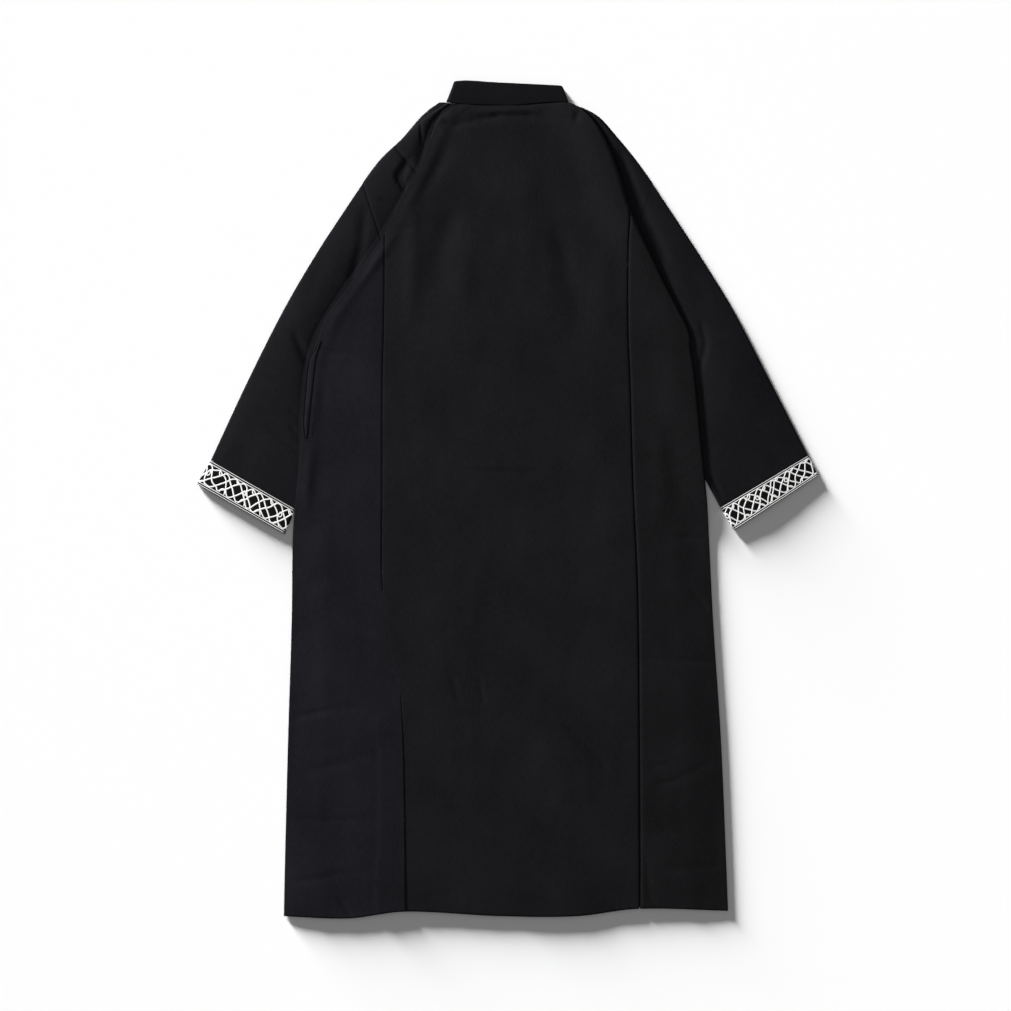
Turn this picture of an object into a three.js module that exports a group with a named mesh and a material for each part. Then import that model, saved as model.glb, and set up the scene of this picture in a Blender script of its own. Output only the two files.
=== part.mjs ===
// A long black robe laid flat on its front: stand collar, straight centre back between two long
// seams, sleeves turned down beside the body, so that the back folds over them from neck to arm.
// Millimetres. +Y is towards the collar, +Z is up from the surface that the robe lies on.
import * as THREE from 'three';

// Cloth and layers
const CLOTH = 1.2; // wall of the body and the sleeves
const TRIM = 1.5; // wall of the cuff bands
const BAND = 2; // wall of the collar, which is stiffened
const GAP = 0.4; // between pieces at a seam, and between a layer and the one above it
const UNDER_TOP = 4; // top of the sleeves and shoulders where the back lies over them
const FOLD_RADIUS = 2.15; // round edge where the back turns under
const FOLD_TOP = UNDER_TOP + GAP + 2 * FOLD_RADIUS;
const TURN_UNDER = 24; // width of cloth turned back under the fold
const BODY_TOP = 5.2; // top of the back where only the front is below it
const SIDE_TOP = 3.2; // top of the back along its sides, where it is sewn to the front
const COLLAR_TOP = 6.4;
const SLEEVE_LOFT = 2; // how far the middle of a sleeve stands above its edges
const COVER = 0.06; // share of a sleeve's width by which it is already flat before the back covers it
const CUFF_TOP = 4.6;

// Openings
const NECK_SLIT = { width: 0.8, length: 220 };
const BACK_SLIT = { from: 32, width: 1.8 }; // right seam, left open from here down
const VENT = { from: -150, closed: -110, blend: 18 }; // left seam, where its flap starts

// Both edges of the back: the slanting folds over the sleeves, then the sides down to the hem
const BACK_EDGES = [
  { y: 646, left: -88, right: 122 },
  { y: 629, left: -111, right: 139 },
  { y: 593, left: -128, right: 161 },
  { y: 541, left: -148, right: 182.5 },
  { y: 489, left: -179, right: 198.5 },
  { y: 436, left: -204, right: 221 },
  { y: 389, left: -235, right: 244 },
  { y: 360, left: -255, right: 257 },
  { y: 301, left: -298, right: 287.5 },
  { y: 273, left: -309.5, right: 300 },
  { y: 247, left: -319, right: 302 },
  { y: 224, left: -328.5, right: 306 },
  { y: 191, left: -332, right: 310 },
  { y: 134, left: -337, right: 315.5 },
  { y: 97, left: -339, right: 319 },
  { y: 0, left: -349, right: 328.5 },
  { y: -59, left: -354, right: 332 },
  { y: -199, left: -356, right: 339 },
  { y: -397, left: -362, right: 352 },
  { y: -595, left: -367, right: 360.5 },
  { y: -691, left: -369, right: 364 },
];

// Height of the back's top side at those edges, and how far the sleeve below reaches in from them
const EDGE_LAYERS = [
  { y: 660, rim: FOLD_TOP, reach: 46 },
  { y: 246, rim: FOLD_TOP, reach: 48 },
  { y: 200, rim: 6.4, reach: 45 },
  { y: 97, rim: 6.2, reach: 32 },
  { y: -10, rim: 6.2, reach: 14 },
  { y: -55, rim: SIDE_TOP, reach: 0 },
  { y: -691, rim: SIDE_TOP, reach: 0 },
];

// Long seams between the centre back and the side panels, and the edge of the left vent's flap
const SEAMS = [
  { y: 470, left: -202, right: 201 },
  { y: 413, left: -202, right: 198 },
  { y: 281, left: -203.5, right: 198 },
  { y: 204, left: -205.5, right: 201 },
  { y: 32, left: -206, right: 206 },
  { y: -153, left: -207, right: 214 },
  { y: -380, left: -207, right: 216.5 },
  { y: -691, left: -207, right: 217.5 },
];
const SIDE_ENDS = { left: 427, right: 472 }; // where each side panel runs out under the fold
const FLAP_EDGE = [
  { y: -150, x: -203 },
  { y: -240, x: -183 },
  { y: -314, x: -176 },
  { y: -430, x: -171 },
  { y: -691, x: -167.5 },
];

// Neck seam, hem and the top of the collar, as heights along the robe
const NECK = [
  { x: -104, y: 655 },
  { x: -73, y: 651.3 },
  { x: -16, y: 649.3 },
  { x: 11, y: 649 },
  { x: 54, y: 653 },
  { x: 99, y: 654 },
  { x: 126, y: 643 },
];
const HEM = [
  { x: -369, y: -687 },
  { x: -260, y: -690.5 },
  { x: -171, y: -679 },
  { x: -12, y: -686.5 },
  { x: 115, y: -686.5 },
  { x: 217, y: -674.5 },
  { x: 364, y: -678 },
];
const COLLAR_EDGE = [
  { x: -89, y: 689 },
  { x: -67, y: 690.5 },
  { x: -16, y: 687.2 },
  { x: 87, y: 682 },
  { x: 92, y: 680.5 },
];
const COLLAR = { left: -101, right: 101.5, leftTop: -88, rightTop: 91 };

// Shoulders, sleeves and cuffs: outer and inner edge of each section, and the share of its width,
// from the outer edge, that the back leaves open to view
const SHOULDERS = {
  left: [
    { outX: -104, outY: 652, inX: -76, inY: 632, open: 0.2 },
    { outX: -138, outY: 631, inX: -86, inY: 600, open: 0.3 },
    { outX: -177.5, outY: 591.5, inX: -108, inY: 545, open: 0.56 },
    { outX: -210.5, outY: 560, inX: -143, inY: 478, open: 0.64 },
    { outX: -239, outY: 522, inX: -197, inY: 393, open: 0.7 },
  ],
  right: [
    { outX: 121, outY: 647.5, inX: 104, inY: 626, open: 0.12 },
    { outX: 151, outY: 631, inX: 120, inY: 590, open: 0.24 },
    { outX: 180, outY: 599, inX: 142, inY: 535, open: 0.33 },
    { outX: 212, outY: 560, inX: 160, inY: 475, open: 0.44 },
    { outX: 239, outY: 522, inX: 197, inY: 393, open: 0.58 },
  ],
};
const SLEEVES = {
  left: [
    { outX: -239, outY: 521, inX: -197, inY: 392, open: 0.7 },
    { outX: -311, outY: 412, inX: -243, inY: 300, open: 0.61 },
    { outX: -369, outY: 313, inX: -280, inY: 205, open: 0.55 },
    { outX: -429, outY: 194, inX: -305, inY: 115, open: 0.75 },
    { outX: -489, outY: 65, inX: -349, inY: -15, open: 1.1 },
  ],
  right: [
    { outX: 239, outY: 521, inX: 197, inY: 392, open: 0.58 },
    { outX: 311, outY: 412, inX: 240, inY: 300, open: 0.62 },
    { outX: 372, outY: 313, inX: 270, inY: 205, open: 0.66 },
    { outX: 436, outY: 190, inX: 290, inY: 108, open: 0.81 },
    { outX: 495.5, outY: 73.5, inX: 350.5, inY: -12.5, open: 1.15 },
  ],
};
const CUFFS = {
  left: [
    { outX: -489, outY: 65, inX: -349, inY: -15, open: 1.1 },
    { outX: -512.3, outY: 25.5, inX: -367, inY: -57, open: 1.1 },
  ],
  right: [
    { outX: 495.5, outY: 73.5, inX: 350.5, inY: -12.5, open: 1.15 },
    { outX: 512.3, outY: 39.5, inX: 373.5, inY: -50.5, open: 1.15 },
  ],
};

// Largest folds of the back: a ridge where rise is above 0, a trough where it is below
const FOLDS = [
  { x1: -74, y1: 641, x2: 52, y2: 643, width: 9, rise: 3.2 },
  { x1: -106, y1: 614, x2: -44, y2: 627, width: 9, rise: -1.8 },
  { x1: -44, y1: 627, x2: 45, y2: 630, width: 8, rise: -1.8 },
  { x1: 112, y1: 625, x2: 126, y2: 642, width: 8, rise: -1.5 },
  { x1: -110, y1: 562, x2: -135, y2: 517, width: 16, rise: -1.2 },
  { x1: -93, y1: 461, x2: -116, y2: 351, width: 20, rise: -1.6 },
  { x1: 88, y1: 413, x2: 120, y2: 291, width: 20, rise: -1.6 },
  { x1: -152, y1: 499, x2: -153, y2: 309, width: 22, rise: 1.4 },
  { x1: 60, y1: 560, x2: 75, y2: 430, width: 30, rise: 1 },
  { x1: -73, y1: 58, x2: 45, y2: 52, width: 18, rise: 0.8 },
  { x1: 0, y1: -80, x2: -20, y2: -420, width: 45, rise: 0.9 },
  { x1: -357, y1: -355, x2: -233, y2: -343, width: 14, rise: -0.9 },
  { x1: -357, y1: -453, x2: -233, y2: -425, width: 14, rise: -0.9 },
  { x1: 220, y1: -260, x2: 345, y2: -268, width: 14, rise: -0.9 },
  { x1: 247, y1: -464, x2: 334, y2: -433, width: 14, rise: -0.9 },
];

// Outline of the pocket's narrow facing, which stands a little out of the left side's edge
const POCKET_WALL = 1;
const POCKET = [
  { y: 101, outer: -333.5, inner: -330.5 },
  { y: 112, outer: -336, inner: -328.5 },
  { y: 134, outer: -336.5, inner: -326.5 },
  { y: 178, outer: -333, inner: -321.5 },
  { y: 223, outer: -328.5, inner: -316.5 },
  { y: 236, outer: -324.5, inner: -314 },
  { y: 249, outer: -316, inner: -311 },
  { y: 262, outer: -309.5, inner: -306.5 },
];

const black = new THREE.MeshStandardMaterial({ color: 0x1b1b1e, roughness: 0.85 });
const trim = new THREE.MeshStandardMaterial({ color: 0x4a4a4c, roughness: 0.8 });

const { lerp, smoothstep, clamp } = THREE.MathUtils;

// Value of one column of a table, between its rows
function between(table, key, at, column) {
  const rows = [...table].sort((a, b) => a[key] - b[key]);
  const inside = clamp(at, rows[0][key], rows.at(-1)[key]);
  const next = Math.max(1, rows.findIndex((row) => row[key] >= inside));
  const [a, b] = [rows[next - 1], rows[next]];
  return lerp(a[column], b[column], (inside - a[key]) / (b[key] - a[key]));
}

// Row of a table of sections at share t of the way down it, all columns on a smooth curve
function sectionAt(table, t) {
  const place = t * (table.length - 1);
  const first = Math.min(Math.floor(place), table.length - 2);
  const row = (n) => table[clamp(n, 0, table.length - 1)];
  const [before, a, b, after] = [row(first - 1), row(first), row(first + 1), row(first + 2)];
  const u = place - first;
  const section = {};
  for (const name of Object.keys(a)) {
    const [slopeA, slopeB] = [(b[name] - before[name]) / 2, (after[name] - a[name]) / 2];
    const rise = 2 * a[name] - 2 * b[name] + slopeA + slopeB;
    const bend = 3 * b[name] - 3 * a[name] - 2 * slopeA - slopeB;
    section[name] = ((rise * u + bend) * u + slopeA) * u + a[name];
  }
  return section;
}

function steps(from, to, count) {
  return Array.from({ length: count + 1 }, (_, n) => lerp(from, to, n / count));
}

// A wall of cloth through a grid of points on its outer side. A missing point leaves a hole or a
// shorter row. Rows that are closed join their last point to their first, as round a tube.
function wall(grid, thickness, closed = false) {
  const number = grid.map((row) => row.map(() => -1));
  const outer = [];
  grid.forEach((row, r) => row.forEach((point, c) => {
    if (point) number[r][c] = outer.push(point) - 1;
  }));
  const quads = [];
  for (let r = 0; r + 1 < grid.length; r += 1) {
    const columns = grid[r].length;
    for (let c = 0; c < (closed ? columns : columns - 1); c += 1) {
      const d = (c + 1) % columns;
      const quad = [number[r][c], number[r][d], number[r + 1][d], number[r + 1][c]];
      if (!quad.includes(-1)) quads.push(quad);
    }
  }
  const normals = outer.map(() => new THREE.Vector3());
  const edges = new Map();
  for (const quad of quads) {
    const [a, b, c, d] = quad.map((n) => outer[n]);
    const face = c.clone().sub(a).cross(d.clone().sub(b)).normalize();
    quad.forEach((from, n) => {
      const to = quad[(n + 1) % 4];
      normals[from].add(face);
      if (!edges.delete(`${to},${from}`)) edges.set(`${from},${to}`, [from, to]);
    });
  }
  const inner = outer.map((p, n) => p.clone().addScaledVector(normals[n].normalize(), -thickness));
  const count = outer.length;
  const triangles = [];
  for (const [a, b, c, d] of quads) {
    triangles.push(a, b, c, a, c, d);
    triangles.push(count + c, count + b, count + a, count + d, count + c, count + a);
  }
  for (const [from, to] of edges.values()) {
    triangles.push(to, from, count + from, to, count + from, count + to);
  }
  const geometry = new THREE.BufferGeometry();
  const places = [...outer, ...inner].flatMap((p) => [p.x, p.y, p.z]);
  geometry.setAttribute('position', new THREE.Float32BufferAttribute(places, 3));
  geometry.setIndex(triangles);
  geometry.computeVertexNormals();
  return geometry;
}

// Rise or drop that the folds give the back at a point
function foldsAt(x, y) {
  let total = 0;
  for (const { x1, y1, x2, y2, width, rise } of FOLDS) {
    const along = ((x - x1) * (x2 - x1) + (y - y1) * (y2 - y1)) / ((x2 - x1) ** 2 + (y2 - y1) ** 2);
    const near = clamp(along, 0, 1);
    const away = Math.hypot(x - lerp(x1, x2, near), y - lerp(y1, y2, near));
    total += rise * Math.exp(-((away / width) ** 2));
  }
  return total;
}

// Height of the back's top side
function backTop(x, y) {
  const inside = Math.min(
    x - between(BACK_EDGES, 'y', y, 'left'),
    between(BACK_EDGES, 'y', y, 'right') - x,
  );
  const rim = between(EDGE_LAYERS, 'y', y, 'rim');
  const reach = between(EDGE_LAYERS, 'y', y, 'reach');
  const body = BODY_TOP - smoothstep(50 - (y - hemAt(x)), 0, 50);
  const height = lerp(rim, body, smoothstep(inside, reach > 0 ? 12 : 0, reach + 32));
  const below = inside < reach + 6 ? UNDER_TOP : CLOTH;
  const free = smoothstep(inside, 4, 30);
  return Math.max(height + free * foldsAt(x, y), below + GAP + CLOTH);
}

function hemAt(x) {
  return between(HEM, 'x', x, 'y');
}

// Rows of the back from the hem up: each lies level, but bends to the hem and to the neck seam
const HEM_LEVEL = -680;
const NECK_LEVEL = 646;
const BEND = 60;
function rowY(level, x) {
  const toHem = (hemAt(x) - HEM_LEVEL) * smoothstep(HEM_LEVEL + BEND - level, 0, BEND);
  const toNeck = (between(NECK, 'x', x, 'y') - NECK_LEVEL) * smoothstep(level, NECK_LEVEL - BEND, NECK_LEVEL);
  return level + toHem + toNeck;
}

function backPoint(x, level, lift = 0) {
  const y = rowY(level, x);
  return new THREE.Vector3(x, y, backTop(x, y) + lift);
}

// Points round a fold: from the turned-under cloth's own edge, round below, to the top of the fold
function turnUnder(edge, inward, level, width) {
  const at = (x, z) => new THREE.Vector3(x, rowY(level, x), z);
  const middle = edge + inward * FOLD_RADIUS;
  const round = [-90, -45, 0, 45].map(THREE.MathUtils.degToRad);
  return [
    at(edge + inward * width, UNDER_TOP + GAP),
    ...round.map((a) => at(
      middle - inward * FOLD_RADIUS * Math.cos(a),
      FOLD_TOP - FOLD_RADIUS * (1 - Math.sin(a)),
    )),
  ];
}

const NO_TURN = [null, null, null, null, null];

// Width of cloth turned under at a height: narrow at the neck, gone below the arm
function turnWidth(level) {
  return TURN_UNDER * smoothstep(level, 205, 260) * (1 - 0.6 * smoothstep(level, 590, 640));
}

function backCentre() {
  const levels = [...steps(HEM_LEVEL, 560, 32), 580, 596, 606, 614, 622, 630, 638, NECK_LEVEL];
  const grid = levels.map((level) => {
    const edges = { left: between(BACK_EDGES, 'y', level, 'left'), right: between(BACK_EDGES, 'y', level, 'right') };
    const seams = { left: between(SEAMS, 'y', level, 'left'), right: between(SEAMS, 'y', level, 'right') };
    const foldedLeft = edges.left > seams.left;
    const foldedRight = edges.right < seams.right;
    const slit = level < BACK_SLIT.from ? BACK_SLIT.width : GAP;
    const left = foldedLeft ? edges.left + FOLD_RADIUS : seams.left + GAP / 2;
    const right = foldedRight ? edges.right - FOLD_RADIUS : seams.right - slit / 2;
    const width = turnWidth(level);
    return [
      ...(foldedLeft ? turnUnder(edges.left, 1, level, width) : NO_TURN),
      ...steps(left, right, 18).map((x) => backPoint(x, level)),
      ...(foldedRight ? turnUnder(edges.right, -1, level, width).reverse() : NO_TURN),
    ];
  });
  return wall(grid, CLOTH);
}

// How far the left side panel stands above the centre back, where its vent's flap lies over it
function ventLift(x, level) {
  const seam = between(SEAMS, 'y', level, 'left');
  const down = smoothstep(VENT.closed - level, 0, VENT.closed - VENT.from);
  return (CLOTH + GAP) * down * smoothstep(x, seam - VENT.blend, seam - 4);
}

function sideLeft() {
  const levels = [...steps(HEM_LEVEL, VENT.from, 13), ...steps(VENT.from + 20, SIDE_ENDS.left, 16)];
  const grid = levels.map((level) => {
    const edge = between(BACK_EDGES, 'y', level, 'left');
    const seam = between(SEAMS, 'y', level, 'left') - GAP / 2;
    const width = turnWidth(level);
    const folded = width > 6;
    const panel = steps(folded ? edge + FOLD_RADIUS : edge, seam, 8);
    const flapEdge = between(FLAP_EDGE, 'y', level, 'x');
    const flap = level < VENT.from + 1 ? steps(seam, flapEdge, 2).slice(1) : [null, null];
    return [
      ...(folded ? turnUnder(edge, 1, level, width) : NO_TURN),
      ...[...panel, ...flap].map((x) => (x === null ? null : backPoint(x, level, ventLift(x, level)))),
    ];
  });
  return wall(grid, CLOTH);
}

function sideRight() {
  const levels = steps(HEM_LEVEL, SIDE_ENDS.right, 30);
  const grid = levels.map((level) => {
    const edge = between(BACK_EDGES, 'y', level, 'right');
    const slit = level < BACK_SLIT.from ? BACK_SLIT.width : GAP;
    const seam = between(SEAMS, 'y', level, 'right') + slit / 2;
    const width = turnWidth(level);
    const folded = width > 6;
    return [
      ...steps(seam, folded ? edge - FOLD_RADIUS : edge, 8).map((x) => backPoint(x, level)),
      ...(folded ? turnUnder(edge, -1, level, width).reverse() : NO_TURN),
    ];
  });
  return wall(grid, CLOTH);
}

// Shares across a section, closer where it is open to view than where the back covers it
function shares(open, from, to) {
  const edge = Math.min(open - COVER, 0.85);
  return [...steps(from, edge, 6), ...steps(edge, to, 2).slice(1)];
}

// How far a shoulder or sleeve rises above its edges at a share: not at all where it is covered
function loft(share, open) {
  return SLEEVE_LOFT * Math.sin(Math.PI * clamp(share / (open - COVER), 0, 1)) ** 0.8;
}

function shoulder(side) {
  const grid = steps(0, 1, 10).map((t) => {
    const { outX, outY, inX, inY, open } = sectionAt(SHOULDERS[side], t);
    return shares(open, 0, 1).map((share) => new THREE.Vector3(
      lerp(outX, inX, share),
      lerp(outY, inY, share),
      share > 0 ? UNDER_TOP + loft(share, open) : CLOTH + GAP + CLOTH,
    ));
  });
  return wall(side === 'left' ? grid.reverse() : grid, CLOTH);
}

// Points round a flattened tube, over the top from its outer to its inner edge and back below
function tubeSection({ outX, outY, inX, inY, open }, edgeTop) {
  const width = Math.hypot(inX - outX, inY - outY);
  const radius = edgeTop / 2;
  const at = (distance, z) => new THREE.Vector3(
    lerp(outX, inX, distance / width),
    lerp(outY, inY, distance / width),
    z,
  );
  const round = [45, 0, -45].map(THREE.MathUtils.degToRad);
  const over = shares(open, radius / width, 1 - radius / width)
    .map((share) => at(share * width, edgeTop + loft(share, open)));
  const innerTurn = round.map((a) => at(width - radius + radius * Math.cos(a), radius * (1 + Math.sin(a))));
  const under = steps(width - radius, radius, 4).map((distance) => at(distance, 0));
  const outerTurn = round.map((a) => at(radius - radius * Math.cos(a), radius * (1 - Math.sin(a))));
  return [...over, ...innerTurn, ...under, ...outerTurn];
}

function tube(side, sections, from, to, count, edgeTop, thickness) {
  const grid = steps(from, to, count).map((t) => tubeSection(sectionAt(sections, t), edgeTop));
  return wall(side === 'left' ? grid.reverse() : grid, thickness, true);
}

// The collar runs from the neck slit, round each end and over the top, and back to the slit
function collar() {
  const radius = COLLAR_TOP / 2;
  const grid = steps(0, 1, 4).map((up) => {
    const left = lerp(COLLAR.left, COLLAR.leftTop, up);
    const right = lerp(COLLAR.right, COLLAR.rightTop, up);
    const at = (x, z) => {
      const y = lerp(between(NECK, 'x', x, 'y') + GAP, between(COLLAR_EDGE, 'x', x, 'y'), up);
      return new THREE.Vector3(x, y, z);
    };
    const round = [-45, 0, 45].map(THREE.MathUtils.degToRad);
    const bulge = 0.6 * Math.sin(Math.PI * up);
    return [
      ...steps(-NECK_SLIT.width / 2, left + radius, 5).map((x) => at(x, 0)),
      ...round.map((a) => at(left + radius - radius * Math.cos(a), radius * (1 + Math.sin(a)))),
      ...steps(left + radius, right - radius, 12).map((x) => at(x, COLLAR_TOP + bulge)),
      ...round.map((a) => at(right - radius + radius * Math.cos(a), radius * (1 - Math.sin(a)))),
      ...steps(right - radius, NECK_SLIT.width / 2, 5).map((x) => at(x, 0)),
    ];
  });
  return wall(grid, BAND);
}

// Outline of one side of the front, from the neck down to the hem: it stays inside the sleeves
function frontSide(side) {
  const sign = side === 'left' ? -1 : 1;
  const innerEdge = steps(0, 1, 12).map((t) => sectionAt(SLEEVES[side], t));
  const shoulderEdge = steps(0, 1, 8).map((t) => sectionAt(SHOULDERS[side], t));
  const clear = GAP + 0.8;
  const sleeveEdge = innerEdge
    .filter(({ inX, inY }) => Math.abs(between(BACK_EDGES, 'y', inY, side)) > Math.abs(inX))
    .map(({ inX, inY }) => ({ x: inX - sign * clear, y: inY }));
  const lowest = sleeveEdge.at(-1).y;
  const sideEdge = steps(lowest - 40, HEM_LEVEL + 1, 14).map((y) => ({ x: between(BACK_EDGES, 'y', y, side), y }));
  return [
    ...shoulderEdge.map(({ outX, outY }) => ({ x: outX, y: outY })),
    { x: lerp(shoulderEdge.at(-1).outX, innerEdge[0].inX, 0.1) - sign * clear, y: shoulderEdge.at(-1).outY - 12 },
    ...sleeveEdge,
    ...sideEdge,
  ];
}

function front() {
  const shape = new THREE.Shape();
  const neckY = between(NECK, 'x', 0, 'y');
  const neck = (from, to) => steps(from, to, 8).map((x) => ({ x, y: between(NECK, 'x', x, 'y') - GAP / 2 }));
  const hem = steps(-366, 361, 16).map((x) => ({ x, y: hemAt(x) + 1 }));
  const half = NECK_SLIT.width / 2;
  const outline = [
    ...neck(COLLAR.left + 2, -half),
    { x: -half, y: neckY - NECK_SLIT.length },
    { x: half, y: neckY - NECK_SLIT.length },
    ...neck(half, COLLAR.right - 2),
    ...frontSide('right'),
    ...hem.reverse(),
    ...frontSide('left').reverse(),
  ];
  outline.forEach(({ x, y }, n) => (n === 0 ? shape.moveTo(x, y) : shape.lineTo(x, y)));
  shape.closePath();
  return new THREE.ExtrudeGeometry(shape, { depth: CLOTH, bevelEnabled: false });
}

// The pocket's facing lies on the left side panel, along the opening in its edge
function pocket() {
  const grid = POCKET.map(({ y, outer, inner }) => (
    steps(outer, inner, 3).map((x) => backPoint(x, y, GAP + POCKET_WALL))
  ));
  return wall(grid, POCKET_WALL);
}

const group = new THREE.Group();
function add(name, geometry, material = black) {
  const mesh = new THREE.Mesh(geometry, material);
  mesh.name = name;
  group.add(mesh);
}

add('front', front());
add('back_centre', backCentre());
add('side_left', sideLeft());
add('side_right', sideRight());
add('pocket_left', pocket());
add('collar', collar());
for (const side of ['left', 'right']) {
  add(`shoulder_${side}`, shoulder(side));
  add(`sleeve_${side}`, tube(side, SLEEVES[side], 0.002, 1, 16, UNDER_TOP, CLOTH));
  add(`cuff_${side}`, tube(side, CUFFS[side], 0.01, 1, 3, CUFF_TOP, TRIM), trim);
}

export default group;
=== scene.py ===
import bisect
import math

import bmesh
import bpy
from mathutils import Matrix, Vector, noise


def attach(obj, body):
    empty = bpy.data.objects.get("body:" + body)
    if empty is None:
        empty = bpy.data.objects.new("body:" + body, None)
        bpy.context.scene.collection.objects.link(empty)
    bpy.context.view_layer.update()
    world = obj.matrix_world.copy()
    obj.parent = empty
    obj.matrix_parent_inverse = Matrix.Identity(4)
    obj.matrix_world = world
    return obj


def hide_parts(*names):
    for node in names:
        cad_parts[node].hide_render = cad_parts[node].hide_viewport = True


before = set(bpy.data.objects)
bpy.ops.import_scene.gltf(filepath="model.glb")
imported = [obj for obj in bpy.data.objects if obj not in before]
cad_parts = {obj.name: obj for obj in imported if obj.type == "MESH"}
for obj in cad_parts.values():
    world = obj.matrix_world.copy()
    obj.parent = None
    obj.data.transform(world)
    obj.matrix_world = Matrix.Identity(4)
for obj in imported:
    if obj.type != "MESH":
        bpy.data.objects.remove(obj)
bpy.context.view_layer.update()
MM = 0.001

# ---------------------------------------------------------------------------
# The pale table that the robe lies on, and the camera straight above it. A low
# lamp draws the robe's long shadow on the table, and a wide one brightens it.
# Two more light the robe alone, one low at the left of the collar, one overhead.
TABLE_SIZE = 50.0
TABLE_GAP = 0.2 * MM  # keeps the table's surface just below the cloth
IMAGE_SIDE = 1011  # pixels, both ways
PIXEL_ON_TABLE = 1.65 * MM
LENS = 85.0
SENSOR = 36.0
FRAME_CENTRE = (-3.3 * MM, -9.9 * MM)
camera_data = bpy.data.cameras.new("camera")
camera_data.lens = LENS
camera_data.sensor_width = SENSOR
camera_data.clip_end = TABLE_SIZE
camera = bpy.data.objects.new("camera", camera_data)
camera.location = (*FRAME_CENTRE, IMAGE_SIDE * PIXEL_ON_TABLE * LENS / SENSOR)
bpy.context.collection.objects.link(camera)
bpy.context.scene.camera = camera

bm = bmesh.new()
bmesh.ops.create_grid(bm, x_segments=1, y_segments=1, size=TABLE_SIZE / 2)
bmesh.ops.translate(bm, verts=bm.verts, vec=(0, 0, -TABLE_GAP))
table_mesh = bpy.data.meshes.new("table")
bm.to_mesh(table_mesh)
bm.free()
table = bpy.data.objects.new("table", table_mesh)
bpy.context.collection.objects.link(table)
table_paint = bpy.data.materials.new("pale_table")
table_paint.use_nodes = True
table_shader = table_paint.node_tree.nodes["Principled BSDF"]
table_shader.inputs["Base Color"].default_value = (0.93, 0.93, 0.93, 1)
table_shader.inputs["Roughness"].default_value = 0.9
table_shader.inputs["Specular IOR Level"].default_value = 0.1
table_mesh.materials.append(table_paint)

table_only = bpy.data.collections.new("table_only")
table_only.objects.link(table)
robe_only = bpy.data.collections.new("robe_only")
robe_only.objects.link(table)
robe_only.collection_objects[0].light_linking.link_state = "EXCLUDE"
# Spread is in metres, but for the low lamp, a sun, an angle in radians
LIGHTS = [
    {"name": "low_lamp", "on": table_only, "from": (-0.6, 0.79, 0.1), "spread": 0.2, "power": 27.2},
    {"name": "table_box", "on": table_only, "from": (0.0, 0.0, 5.0), "spread": 6.0, "power": 20.0},
    {"name": "side_box", "on": robe_only, "from": (-4.9, 2.9, 2.1), "spread": 1.4, "power": 640.0},
    {"name": "top_box", "on": robe_only, "from": (-0.3, -1.2, 3.5), "spread": 3.0, "power": 33.0},
]
for row in LIGHTS:
    is_sun = row["name"] == "low_lamp"
    light_data = bpy.data.lights.new(row["name"], "SUN" if is_sun else "AREA")
    light_data.energy = row["power"]
    if is_sun:
        light_data.angle = row["spread"]
    else:
        light_data.shape = "DISK"
        light_data.size = row["spread"]
    light = bpy.data.objects.new(row["name"], light_data)
    light.light_linking.receiver_collection = row["on"]
    light.location = row["from"]
    light.rotation_euler = (-Vector(row["from"])).to_track_quat("-Z", "Y").to_euler()
    bpy.context.collection.objects.link(light)
world = bpy.data.worlds.new("studio")
world.use_nodes = True
world.node_tree.nodes["Background"].inputs["Color"].default_value = (1, 1, 1, 1)
world.node_tree.nodes["Background"].inputs["Strength"].default_value = 0.14
bpy.context.scene.world = world
bpy.context.scene.view_settings.view_transform = "Standard"

# ---------------------------------------------------------------------------
# Centre back: one straight panel from the neck seam to the hem. Above the arms
# it folds over the shoulders and turns back under itself along both slants.
# Fine black suiting, pressed, with soft drape lines and a roll below the collar.
CLOTH = 1.0 * MM
UNDER_TOP = 4.0 * MM  # top of shoulders and sleeves where the back lies on them
FRONT_TOP = 1.2 * MM
LAYER_GAP = 0.4 * MM
LIP = UNDER_TOP + LAYER_GAP  # underside of the cloth that is turned under
OPEN_LIP = 0.5 * MM  # the same beside the hem, where nothing lies below
NOSE = {"left": 0.35, "right": 1.4, "hem": 0.8}  # how far a fold's round reaches in, for half its height
LIP_LEVELS = (-60 * MM, -25 * MM)  # where the underside rises from the hem's height to the arms'
NOSE_LEVELS = (-60 * MM, 60 * MM)  # where the folds change from the hem's round to the arms'
BODY_TOP = 7.4 * MM
HEM_DROP = 1.6 * MM
HEM_RUN = 60 * MM  # how far above the hem the cloth starts to drop
CELL = 3.6 * MM  # spacing of the cloth's points
SEAM_GAP = 0.3 * MM

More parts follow.
